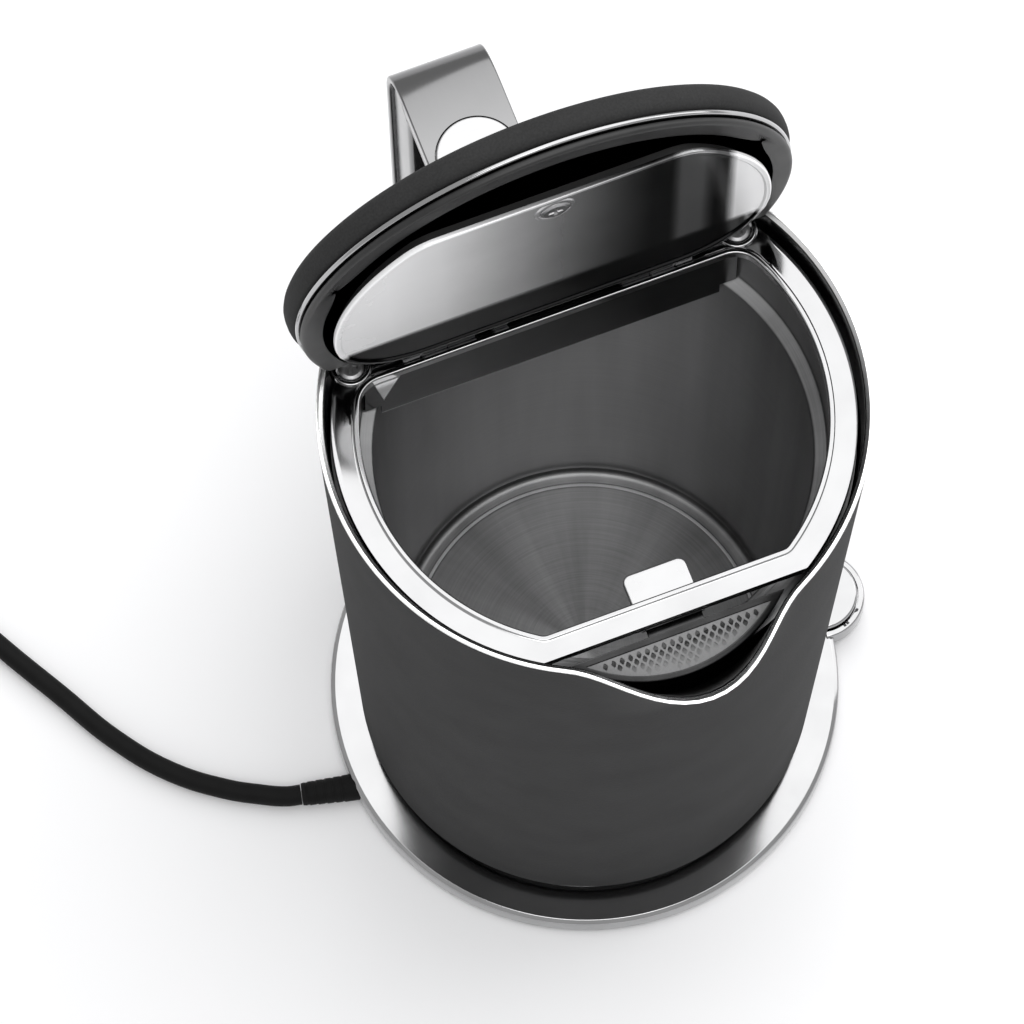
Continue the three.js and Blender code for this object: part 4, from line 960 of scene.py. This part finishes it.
def strain_relief():
    """Ribbed rubber sleeve that tapers from the base's wall to the cord."""
    inner = -BASE_RADIUS + 16 * MM
    outer = inner - 31 * MM
    wall = -BASE_RADIUS - 1 * MM
    ribs = 5
    rib = (wall - outer - 1.2 * MM) / ribs
    flange, neck = 4.9 * MM, 3.9 * MM
    corners = [(0, 0, 0), (flange, 0, 0.3 * MM), (flange, 2 * MM, 0), (neck, 2 * MM, 0)]
    for k in range(ribs):
        wide = (3.9 - 0.1 * k) * MM
        slim = wide - 0.2 * MM
        start = inner - wall + rib * k
        corners += [(wide, start, 0), (wide, start + 0.7 * rib, 0.2 * MM)]
        corners += [(slim, start + 0.74 * rib, 0), (slim, start + 0.98 * rib, 0)]
    length = inner - outer
    corners += [(3.4 * MM, length - 1 * MM, 0), (3.2 * MM, length, 0), (0, length, 0)]
    bm = turned(corners, SMALL_STEPS, closed=False)
    moved(bm, turn=-math.pi / 2, axis="Y")
    aslant(moved(bm, (inner, SLEEVE_WALL.y, CORD_HEIGHT)))
    made = divided(bm, (0, 0, 0.05 * MM), (0, 0, -1), clear_outer=True)
    edges = [e for e in made["geom_cut"] if isinstance(e, bmesh.types.BMEdge)]
    bmesh.ops.holes_fill(bm, edges=edges)
    piece("cord_sleeve", bm, "base", RUBBER, ["strain_relief"])


# ================= jug: shell, rim and vessel =================
SPOUT_LEVELS = 14


def levels(first, last, count):
    return [first + (last - first) * k / count for k in range(count + 1)]


def outer_shell():
    top = RIM - 0.8 * MM
    foot = SHELL_FOOT
    spout_foot = RIM - SPOUT_DEPTH
    fall = levels(top, spout_foot, SPOUT_LEVELS)
    rise = [*levels(foot + 6 * MM, spout_foot, 6), *levels(spout_foot, top, SPOUT_LEVELS)[1:]]
    outside = [(shell_radius(z), z, 0) for z in rise]
    inside = [(shell_radius(z) - SHELL_WALL + 1 * MM, z, 0) for z in fall]
    bm = turned([
        (shell_radius(foot) - SHELL_WALL, foot + 1 * MM, 0),
        (shell_radius(foot) - SHELL_WALL, foot, 0.4 * MM),
        (shell_radius(foot), foot, 0.9 * MM),
        *outside,
        *inside,
        (shell_radius(spout_foot) - SHELL_WALL, spout_foot - 2 * MM, 0),
    ])
    push_spout(bm, THROAT_RADIUS)
    piece("jug_shell", bm, "jug", SOFT_TOUCH, ["outer_shell"])


def rim_band():
    """Steel lining of the mouth and the spout, its bare edge on top of the shell."""
    bottom = low("rim_band").z
    lip = RIM - 0.5 * MM
    rise = levels(bottom, RIM - 1.2 * MM, SPOUT_LEVELS)
    outside = [(shell_radius(z) - 1.7 * MM, z, 0) for z in rise]
    inside = [(shell_radius(z) - BAND_INSET, z, 0) for z in reversed(rise)]
    bm = turned([
        *outside,
        (shell_radius(lip) - 1 * MM, lip, 0),
        (RIM_RADIUS, lip, 0.1 * MM),
        (RIM_RADIUS, RIM, 0.3 * MM),
        (RIM_RADIUS - LIP_WIDTH, RIM, 0.3 * MM),
        *inside,
    ])
    push_spout(bm, THROAT_RADIUS)
    piece("rim_lining", bm, "jug", RIM_STEEL, ["rim_band"])


def vessel():
    wall = 1 * MM
    floor = LINER_FLOOR
    foot = LINER_FLOOR_RADIUS
    flange = RIM - 20.3 * MM
    edge = high("liner").x
    bm = turned([
        (0, floor, 0),
        (FLOOR_LINE - 0.8 * MM, floor, 0),
        (FLOOR_LINE, floor + 0.5 * MM, 0.3 * MM),
        (FLOOR_LINE + 0.8 * MM, floor, 0),
        (foot, floor, 3 * MM),
        (SHOULDER_RADIUS, SHOULDER - 1 * MM, 1 * MM),
        (THROAT_RADIUS, SHOULDER + 0.4 * MM, 1 * MM),
        (THROAT_RADIUS, LINER_TOP, 0),
        (THROAT_RADIUS + wall, LINER_TOP, 0),
        (THROAT_RADIUS + wall, flange, 0),
        (edge, flange, 0),
        (edge, flange - 1.5 * MM, 0),
        (THROAT_RADIUS + wall, flange - 1.5 * MM, 0),
        (THROAT_RADIUS + wall, SHOULDER, 0),
        (SHOULDER_RADIUS + wall, SHOULDER - 2 * MM, 0),
        (foot + wall, floor - 1.3 * MM, 3.5 * MM),
        (0, floor - 1.3 * MM, 0),
    ], closed=False)
    half = 36 * MM
    sill = (-half, -2 * RIM_RADIUS, flange + 0.2 * MM)
    window = block(sill, (half, OPENING_FRONT + 3.4 * MM, 2 * RIM))
    piece("vessel", cut(bm, window), "jug", VESSEL, ["liner"])


def jug_underside():
    foot = SHELL_FOOT + 0.5 * MM
    wide = high("jug_bottom_cover").x
    stand = low("jug_bottom_cover").z
    inner = 19.4 * MM
    bm = turned([
        (inner, foot, 0.4 * MM),
        (30 * MM, foot, 0),
        (30.6 * MM, foot + 0.5 * MM, 0),
        (32.4 * MM, foot + 0.5 * MM, 0),
        (33 * MM, foot, 0),
        (wide - 6 * MM, foot, 0.4 * MM),
        (wide - 6 * MM, stand, 0.8 * MM),
        (wide - 3 * MM, stand, 0.8 * MM),
        (wide - 3 * MM, foot, 0.3 * MM),
        (wide, foot, 0.3 * MM),
        (wide, foot + 2.5 * MM, 0),
        (inner, foot + 2.5 * MM, 0),
    ])
    piece("jug_cover", bm, "jug", BLACK_PLASTIC, ["jug_bottom_cover"])
    top = high("jug_connector").z
    sleeve = turned([
        (0, top, 0),
        (19.1 * MM, top, 0),
        (19.1 * MM, stand + 1.5 * MM, 0.6 * MM),
        (15.5 * MM, stand + 1.5 * MM, 0.6 * MM),
        (15.5 * MM, top - 4 * MM, 0),
        (2 * MM, top - 4 * MM, 0),
        (2 * MM, top - 12 * MM, 0.5 * MM),
        (0, top - 12 * MM, 0),
    ], MIDDLING_STEPS, closed=False)
    piece("connector_sleeve", sleeve, "jug", BLACK_PLASTIC, ["jug_connector"])


# ================= jug: ring round the mouth =================
BEAD = 1.8 * MM  # rounded edge of the opening
RING_STEPS = 10  # rows between the ring's edge and the bead


RING_STEP_START = 21 * MM
RING_STEP_LENGTH = 5 * MM
RING_STEP_DEPTH = 0.9 * MM
CHANNEL_HALF = 46 * MM
CHANNEL_DEPTH = 1 * MM


def ring_fall(x, y):
    """How far the ring's face is sunk towards the hinge, and further in the hinge's channel."""
    start = RING_STEP_START + 2 * (math.hypot(x, y) - OPENING_RADIUS - BEAD)
    share = min(max((y - start) / RING_STEP_LENGTH, 0), 1)
    fall = RING_STEP_DEPTH * share * share * (3 - 2 * share)
    if abs(x) < CHANNEL_HALF and y > OPENING_REAR + BEAD + 0.4 * MM:
        fall += CHANNEL_DEPTH
    return fall


def ring_edge(point, inset):
    """The place on the ring's outer edge straight outwards from a place on its opening."""
    way = Vector((point.x, point.y)).normalized()
    reach = RING_RADIUS - inset
    if way.y < 0:
        reach = min(reach, (BAR_FRONT + inset) / way.y)
    return way * reach


def widened(bm, loop, inset, z, rows=1, fall=None):
    """Extrudes a loop on the opening's side out to the ring's edge, in rows."""
    starts = [vert.co.copy() for vert in loop]
    for row in range(1, rows + 1):
        loop = extruded(bm, loop)
        for vert, start in zip(loop, starts):
            edge = ring_edge(start, inset)
            share = row / rows
            vert.co.x = start.x + (edge.x - start.x) * share
            vert.co.y = start.y + (edge.y - start.y) * share
            vert.co.z = start.z + (z - start.z) * share
            if fall:
                vert.co.z -= fall(vert.co.x, vert.co.y)
    return loop


def rim_ring():
    bm = bmesh.new()
    edge = 0.5 * MM
    opening = double_d(
        bm, RING_TOP - 0.3 * MM, OPENING_RADIUS, OPENING_REAR, 8 * MM, OPENING_FRONT, 3.5 * MM, 216
    )
    foot = step(bm, opening, 0, RING_UNDER - RING_TOP + 0.3 * MM)
    bead = [(0, 0.65 * MM, 0.5 * MM), (1.3 * MM, 0.65 * MM, 0.5 * MM), (BEAD, 0.3 * MM, 0)]
    crest = follow(bm, opening, bead)
    face = widened(bm, crest, 2 * edge, RING_TOP, RING_STEPS, ring_fall)
    rim = widened(bm, face, 0.3 * edge, RING_TOP - 0.3 * edge)
    side = widened(bm, rim, 0, RING_TOP - edge)
    under = widened(bm, side, 0, RING_UNDER)
    bridge(bm, under, foot)
    piece("mouth_ring", outward(bm), "jug", CHROME, ["rim_ring"], sharp=40)


def ring_lugs():
    """Knuckles that hold the hinge's pins, and the collars round the screws."""
    for side, hand in ((-1, "left"), (1, "right")):
        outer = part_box(f"hinge_pin_{hand}")[side > 0].x
        first, last = sorted((outer - side * 5 * MM, outer))
        knuckle = rod(2.1 * MM, first, last, (HINGE_Y, HINGE_Z), "X", 0.5 * MM)
        piece(f"knuckle_{hand}", knuckle, "jug", CHROME)
        screw = middle(f"ring_screw_{hand}")
        collar = turned([
            (4.1 * MM, -1.4 * MM, 0),
            (4.1 * MM, -0.1 * MM, 0.3 * MM),
            (5.3 * MM, -0.1 * MM, 0.5 * MM),
            (5.9 * MM, -1.4 * MM, 0),
        ], SMALL_STEPS)
        moved(collar, (screw.x, screw.y, RING_TOP))
        piece(f"collar_{hand}", collar, "jug", CHROME)
        head = screw_head(3.6 * MM, 1 * MM)
        moved(head, turn=side * 0.4)
        moved(head, (screw.x, screw.y, RING_TOP - 1.3 * MM))
        piece(f"mouth_screw_{hand}", head, "jug", CAST_METAL, [f"ring_screw_{hand}"])


def rear_cover():
    """Soft-touch cover behind the lid, level with the rim."""
    front = low("rear_cover").y
    first, top = low("rear_cover").z, high("rear_cover").z
    half = math.sqrt(RING_RADIUS**2 - front**2)
    bm = bmesh.new()
    pen = Pen(bm, half, front, first)
    start = math.atan2(front, half)
    pen.arc(0, 0, math.pi - 2 * start, 60)
    height = top - first
    plate(bm, pen.close(), [(0, height, 1.2 * MM), (-2.5 * MM, height, 0)], [])
    piece("hinge_cover", bm, "jug", SOFT_TOUCH, ["rear_cover"])


def baffle_bracket():
    """Small gusset between the mouth's corner and the left end of the rear baffle."""
    top = RING_UNDER - 0.6 * MM
    bm = bmesh.new()
    pen = Pen(bm, -51.5 * MM, 31.5 * MM, top)
    pen.line(-50.5 * MM, 26.5 * MM)
    pen.line(-44 * MM, 31.5 * MM)
    plate(bm, pen.close(), [], [(0, -1 * MM, 0)])
    piece("baffle_bracket", bm, "jug", BRUSHED)


# ================= jug: handle =================
HANDLE_TOP = high("handle_skin").z
HANDLE_LOW_BACK = HANDLE_BACK - 7.5 * MM
HANDLE_FOOT = low("handle_skin").z
HANDLE_HALF = high("handle_skin").x
HANDLE_BEND = 18 * MM
HANDLE_SKIN = 2.2 * MM
HANDLE_CORE = 13 * MM
BEND_STEPS = 14


def handle_path():
    """The handle's outer face seen from the side, as points (y, z) from the top to the foot."""
    lean = (HANDLE_BACK - HANDLE_LOW_BACK) / (HANDLE_TOP - HANDLE_FOOT)
    corner_top = Vector((HANDLE_BACK, HANDLE_TOP))
    corner_low = Vector((HANDLE_LOW_BACK, HANDLE_FOOT))
    along = Vector((-lean, -1)) * HANDLE_BEND
    across = Vector((-HANDLE_BEND, 0))

    def bend(first, corner, last):
        points = []
        for k in range(BEND_STEPS + 1):
            t = k / BEND_STEPS
            points.append((1 - t) ** 2 * first + 2 * t * (1 - t) * corner + t * t * last)
        return points

    inside_top = shell_radius(HANDLE_TOP) - 1.9 * MM
    inside_low = shell_radius(HANDLE_FOOT) - 1.5 * MM
    return [
        Vector((inside_top, HANDLE_TOP)),
        *bend(corner_top + across, corner_top, corner_top + along),
        *bend(corner_low - along, corner_low, corner_low + across),
        Vector((inside_low, HANDLE_FOOT)),
    ]


def handle_strip(section):
    """Sweeps a section of (x, depth) points along the handle."""
    path = handle_path()
    bm = bmesh.new()
    first = [bm.verts.new((p.x, 0, 0)) for p in section]
    for pair in zip(first, first[1:] + first[:1]):
        bm.edges.new(pair)
    loop = first
    for i, point in enumerate(path):
        if i:
            loop = extruded(bm, loop)
        ahead = (path[min(i + 1, len(path) - 1)] - path[max(i - 1, 0)]).normalized()
        inward = Vector((ahead.y, -ahead.x))
        if i in (0, len(path) - 1):
            inward = Vector((0, -1 if i == 0 else 1))
        for vert, part in zip(loop, section):
            at = point + inward * part.y
            vert.co = (part.x, at.x, at.y)
    cap(bm, first)
    cap(bm, loop)
    return outward(bm)


def section(half, first, last, rounding):
    return rounded([
        (-half, first, rounding),
        (half, first, rounding),
        (half, last, rounding),
        (-half, last, rounding),
    ], 4)


def handle():
    button = middle("release_button")
    radius = high("release_button").x
    at_button = {"place": (0, button.y), "steps": DISC_STEPS}
    above = HANDLE_TOP + 9 * MM
    hole = rod(radius + 0.35 * MM, HANDLE_TOP - 9 * MM, above, **at_button)
    skin = handle_strip(section(HANDLE_HALF, 0, HANDLE_SKIN, 0.55 * MM))
    piece("handle_band", cut(skin, hole), "jug", POLISHED, ["handle_skin"])
    first = HANDLE_SKIN + GAP
    half = HANDLE_HALF - 1 * MM
    core = handle_strip(section(half, first, first + HANDLE_CORE, 1.8 * MM))
    pocket = rod(radius + 0.5 * MM, HANDLE_TOP - 5.8 * MM, above, **at_button)
    piece("handle_grip", cut(core, pocket), "jug", POLISHED, ["handle_core"])
    top = high("release_button").z
    under = low("latch_rod").z + 2.2 * MM
    disc = turned([
        (0, under, 0),
        (2.2 * MM, under, 0),
        (2.2 * MM, top - 3 * MM, 0),
        (radius, top - 3 * MM, 0.2 * MM),
        (radius, top, 0.5 * MM),
        (radius - 1.2 * MM, top, 0),
        (0, top, 0),
    ], DISC_STEPS, closed=False)
    moved(disc, (0, button.y, 0))
    piece("release_disc", disc, "release", BRUSHED, ["release_button"])


# ================= filter =================
FILTER_EDGE = BAR_FRONT - 1.4 * MM
FILTER_HALF = high("filter_frame").x
FILTER_REACH = FILTER_EDGE - low("filter_frame").y
FILTER_RADIUS = (FILTER_HALF**2 + FILTER_REACH**2) / (2 * FILTER_REACH)
FILTER_CENTRE = FILTER_EDGE - FILTER_REACH + FILTER_RADIUS
FILTER_TOP = high("filter_frame").z
FILTER_SLOPE = 0.45
FILTER_FRAME = 1.6 * MM
HOLE_PITCH = 1.7 * MM  # side of a cell; its diagonal is the pitch along a row
ROW_STRETCH = 1.2
HOLE_WEB = 0.36 * MM  # metal on each side of a hole
HOLE_CORNER = 0.26 * MM
SHEET_CELLS = 52  # along each side of the sheet before it is trimmed
SHEET_FACETS = 25  # straight cuts along the round edge
SHEET_THICKNESS = 0.4 * MM
TAB_HALF = 9 * MM
TAB_END = high("filter_frame").y


def tip(bm):
    """Tips a flat piece down towards the spout, beyond the straight edge."""
    for vert in bm.verts:
        vert.co.z += FILTER_SLOPE * min(0, vert.co.y - FILTER_EDGE)


def half_moon(bm, inset, z):
    """Outline with its straight edge beside the front bar."""
    radius = FILTER_RADIUS - inset
    edge = FILTER_EDGE - inset
    half = math.sqrt(radius**2 - (FILTER_CENTRE - edge) ** 2)
    pen = Pen(bm, -half, edge, z)
    pen.arc(0, FILTER_CENTRE, 2 * math.asin(half / radius), 48)
    return pen.close()


def filter_frame():
    bm = bmesh.new()
    height = 1.2 * MM
    outer = half_moon(bm, 0, FILTER_TOP - height)
    inner = half_moon(bm, FILTER_FRAME, FILTER_TOP - height)
    bridge(bm, outer, inner)
    outer_top = follow(bm, outer, [(0, height, 0.3 * MM), (-0.5 * MM, height, 0)])
    inner_top = follow(bm, inner, [(0, height, 0.2 * MM), (0.3 * MM, height, 0)])
    bridge(bm, outer_top, inner_top)
    outward(bm)
    tip(bm)
    piece("filter_rim", bm, "filter", FILTER_STEEL, ["filter_frame"])
    tab = bmesh.new()
    tab_start = BAR_FRONT + 0.9 * MM
    rounding = 2.4 * MM
    pen = Pen(tab, -TAB_HALF, tab_start, FILTER_TOP - 1.6 * MM)
    pen.line(TAB_HALF, tab_start)
    pen.line(TAB_HALF, TAB_END - rounding)
    pen.arc(TAB_HALF - rounding, TAB_END - rounding, math.pi / 2, ARC_STEPS)
    pen.line(-TAB_HALF + rounding, TAB_END)
    pen.arc(-TAB_HALF + rounding, TAB_END - rounding, math.pi / 2, ARC_STEPS)
    plate(tab, pen.close(), [(0, 1.6 * MM, 0.5 * MM), (-1.1 * MM, 1.6 * MM, 0)], [])
    piece("filter_tab", tab, "filter", TAB_STEEL)
    first = (-TAB_HALF + 1 * MM, FILTER_EDGE - 0.6 * MM, FILTER_TOP - 1.4 * MM)
    neck = block(first, (TAB_HALF - 1 * MM, tab_start + 1 * MM, FILTER_TOP - 0.5 * MM), 0.2 * MM)
    piece("filter_neck", neck, "filter", FILTER_STEEL)


def filter_mesh():
    """Sheet with staggered rows of small holes, trimmed to the half-moon."""
    bm = bmesh.new()
    size = SHEET_CELLS * HOLE_PITCH / 2
    bmesh.ops.create_grid(bm, x_segments=SHEET_CELLS, y_segments=SHEET_CELLS, size=size)
    moved(bm, turn=math.pi / 4)
    bmesh.ops.scale(bm, verts=bm.verts, vec=(1, ROW_STRETCH, 1))
    lap = FILTER_FRAME * 0.9
    edge = FILTER_EDGE - lap
    moved(bm, (0, edge - FILTER_REACH / 2, FILTER_TOP - 0.6 * MM))
    widest = math.asin(FILTER_HALF / FILTER_RADIUS)
    sides = [(Vector((0, edge, 0)), Vector((0, 1, 0)))]
    middle_facet = SHEET_FACETS // 2
    for k in range(SHEET_FACETS):
        turn = widest * (k - middle_facet) / middle_facet
        way = Vector((math.sin(turn), -math.cos(turn), 0))
        sides.append((Vector((0, FILTER_CENTRE, 0)) + way * (FILTER_RADIUS - lap), way))
    for place, way in sides:
        divided(bm, place, way, clear_outer=True)
    cell = HOLE_PITCH**2 * ROW_STRETCH
    whole = [face for face in bm.faces if face.calc_area() > 0.98 * cell]
    bmesh.ops.inset_individual(bm, faces=whole, thickness=HOLE_WEB)
    corners = list({vert for face in whole for vert in face.verts})
    settings = {"offset": HOLE_CORNER, "segments": 1, "profile": 0.5, "material": -1}
    bmesh.ops.bevel(bm, geom=corners, affect="VERTICES", **settings)
    holes = [face for face in bm.faces if len(face.verts) == 8 and face.calc_area() < 0.6 * cell]
    bmesh.ops.delete(bm, geom=holes, context="FACES")
    made = bmesh.ops.extrude_face_region(bm, geom=bm.faces[:], use_keep_orig=True)
    bmesh.ops.translate(bm, verts=corners_of(made), vec=(0, 0, -SHEET_THICKNESS))
    outward(bm)
    tip(bm)
    piece("filter_sheet", bm, "filter", SHEET_STEEL, ["filter_mesh"])


# ================= lid =================
CAP_TOP = RIM + 5.5 * MM
CAP_UNDER = CAP_TOP - 7.9 * MM
TRIM_TOP = CAP_UNDER - GAP
TRIM_UNDER = TRIM_TOP - 1.5 * MM
GASKET_TOP = TRIM_UNDER - GAP
GASKET_UNDER = GASKET_TOP - 2.3 * MM
PAN_TOP = RING_UNDER + 0.9 * MM
LID_RADIUS = high("lid_cap").x
LID_REAR = HINGE_Y + HINGE_Z - RIM - 0.6 * MM
CAP_REAR = HINGE_Y + 1.1 * MM
TONGUE_HALF = 47 * MM
PAN_RADIUS = OPENING_RADIUS - 1 * MM
PAN_FRONT = OPENING_FRONT + 3.4 * MM
PAN_REAR = OPENING_REAR - 1.7 * MM


def opened(bm):
    """Swings a piece of the shut lid open about the hinge."""
    hinge = Vector((0, HINGE_Y, HINGE_Z))
    swing = Matrix.Rotation(-math.pi / 2, 4, "X")
    matrix = Matrix.Translation(hinge) @ swing @ Matrix.Translation(-hinge)
    bmesh.ops.transform(bm, matrix=matrix, verts=bm.verts)
    return bm


def lid_cap():
    bm = bmesh.new()
    corner = 4 * MM
    half = (CAP_TOP - CAP_UNDER) / 2
    back = Vector((0, LID_REAR - corner))
    back.x = math.sqrt((LID_RADIUS - corner) ** 2 - back.y**2)
    back_turn = math.atan2(back.y, back.x)
    start = LID_RADIUS * Vector((-math.cos(back_turn), math.sin(back_turn)))
    pen = Pen(bm, start.x, start.y, CAP_UNDER + half)
    pen.arc(0, 0, math.pi + 2 * back_turn, 160)
    pen.arc(back.x, back.y, math.pi / 2 - back_turn, ARC_STEPS)
    pen.line(TONGUE_HALF + 1 * MM, LID_REAR)
    pen.line(TONGUE_HALF, LID_REAR + 1 * MM)
    pen.line(TONGUE_HALF, CAP_REAR - corner)
    pen.arc(TONGUE_HALF - corner, CAP_REAR - corner, math.pi / 2, ARC_STEPS)
    pen.line(-TONGUE_HALF + corner, CAP_REAR)
    pen.arc(-TONGUE_HALF + corner, CAP_REAR - corner, math.pi / 2, ARC_STEPS)
    pen.line(-TONGUE_HALF, LID_REAR + 1 * MM)
    pen.line(-TONGUE_HALF - 1 * MM, LID_REAR)
    pen.line(-back.x, LID_REAR)
    pen.arc(-back.x, back.y, math.pi / 2 - back_turn, ARC_STEPS)
    over, under = ([(0, rise, 3.2 * MM), (-3.6 * MM, rise, 0)] for rise in (half, -half))
    plate(bm, pen.close(), over, under)
    piece("lid_top", opened(bm), "lid", SOFT_TOUCH, ["lid_cap"])


def lid_ring(name, node, radius, width, first, last, rounding, look):
    """Ring of the lid between two heights, its outer and inner edges rounded."""
    bm = bmesh.new()
    middle_height = (first + last) / 2
    outer = double_d(bm, middle_height, radius, LID_REAR, 3 * MM)
    inner = double_d(bm, middle_height, radius - width, LID_REAR - 3 * MM, 3 * MM)
    half = (last - first) / 2
    for way in (1, -1):
        out = follow(bm, outer, [(0, way * half, rounding), (-rounding * 1.2, way * half, 0)])
        into = follow(bm, inner, [(0, way * half, rounding), (rounding * 1.2, way * half, 0)])
        bridge(bm, out, into)
    piece(name, opened(outward(bm)), "lid", look, [node])


def lid_rings():
    trim = (LID_RADIUS - 1.1 * MM, 5.2 * MM, TRIM_UNDER, TRIM_TOP, 0.6 * MM)
    lid_ring("lid_trim", "lid_trim_ring", *trim, CHROME)
    gasket = (LID_RADIUS - 1.7 * MM, 7.2 * MM, GASKET_UNDER, GASKET_TOP, 1.1 * MM)
    lid_ring("lid_seal", "lid_gasket", *gasket, SEAL_RUBBER)


def lid_pan():
    """Dished steel pan with a raised rim, and the core that holds it to the cap."""
    bm = bmesh.new()
    loop = double_d(bm, PAN_TOP - 0.8 * MM, PAN_RADIUS, PAN_REAR, 26 * MM, PAN_FRONT, 14 * MM)
    back = [(0, 0.8 * MM, 0.3 * MM), (-1 * MM, 0.8 * MM, 0)]
    face = [
        (0, -0.8 * MM, 0.5 * MM),
        (-1.5 * MM, -0.8 * MM, 0.3 * MM),
        (-2 * MM, -0.3 * MM, 0.2 * MM),
        (-3 * MM, -0.3 * MM, 0),
    ]
    plate(bm, loop, back, face)
    piece("lid_dish", opened(bm), "lid", MIRROR_STEEL, ["lid_pan"])
    core = bmesh.new()
    inset = 2.6 * MM
    rear, front = PAN_REAR - inset, PAN_FRONT + inset
    loop = double_d(core, PAN_TOP + GAP, PAN_RADIUS - inset, rear, 23 * MM, front, 11 * MM)
    plate(core, loop, [(0, CAP_UNDER - GAP - PAN_TOP - GAP, 0)], [])
    piece("lid_body", opened(core), "lid", BLACK_PLASTIC, ["lid_core"])
    screw = middle("lid_pan_screw")
    head = screw_head(4.2 * MM, 0.9 * MM, 0.5)
    moved(head, turn=math.pi / 2, axis="X")
    moved(head, (screw.x, low("lid_pan").y + 0.6 * MM, screw.z))
    piece("dish_screw", head, "lid", CAST_METAL, ["lid_pan_screw"])
    dimple = turned([
        (4.4 * MM, -0.1 * MM, 0),
        (4.6 * MM, 0.35 * MM, 0.1 * MM),
        (5.4 * MM, 0.3 * MM, 0.1 * MM),
        (6 * MM, -0.1 * MM, 0),
    ], SMALL_STEPS)
    moved(dimple, turn=math.pi / 2, axis="X")
    moved(dimple, (screw.x, low("lid_pan").y + 0.5 * MM, screw.z))
    piece("dish_dimple", dimple, "lid", MIRROR_STEEL)


def lid_arms():
    for hand in ("left", "right"):
        first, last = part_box(f"lid_arm_{hand}")
        barrel = rod(2.9 * MM, first.x, last.x, (HINGE_Y, HINGE_Z), "X", 0.6 * MM)
        piece(f"arm_barrel_{hand}", barrel, "lid", CAST_METAL, [f"lid_arm_{hand}"])
        foot, top = HINGE_Z - 2 * MM, HINGE_Z + 2.7 * MM
        web = block((first.x, HINGE_Y, foot), (last.x, last.y, top), 0.5 * MM)
        piece(f"arm_web_{hand}", web, "lid", CAST_METAL)


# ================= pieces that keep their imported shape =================
def kept_nodes():
    metal = ["heating_plate", "lid_latch_cam", "latch_rod", "button_spring"]
    metal += [f"hinge_{part}_{hand}" for hand in ("left", "right") for part in ("pin", "spring")]
    metal += [f"handle_screw_{i}" for i in (1, 2, 3)]
    plastic = ["thermostat_control", "liner_support_ring"]
    looks = (metal, CAST_METAL), (plastic, BLACK_PLASTIC), (["rear_baffle"], BAFFLE_STEEL)
    for nodes, look in looks:
        for node in nodes:
            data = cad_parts[node].data
            data.materials.clear()
            data.materials.append(look[0])


def ground():
    bm = bmesh.new()
    bmesh.ops.create_grid(bm, x_segments=1, y_segments=1, size=FLOOR_SIZE / 2)
    mesh = bpy.data.meshes.new("floor")
    bm.to_mesh(mesh)
    bm.free()
    mesh.materials.append(floor_paper())
    placed("floor", mesh)


camera()
cord()
studio()
ground()
base_deck()
power_button()
connector_socket()
base_underside()
strain_relief()
for i in (1, 2, 3):
    downward_screw(f"cover_screw_{i}", f"base_screw_{i}", 1.6 * MM, "base")
    downward_screw(f"jug_screw_{i}", f"bottom_screw_{i}", 1.7 * MM, "jug")
outer_shell()
rim_band()
vessel()
jug_underside()
rim_ring()
ring_lugs()
rear_cover()
baffle_bracket()
handle()
filter_frame()
filter_mesh()
lid_cap()
lid_rings()
lid_pan()
lid_arms()
kept_nodes()
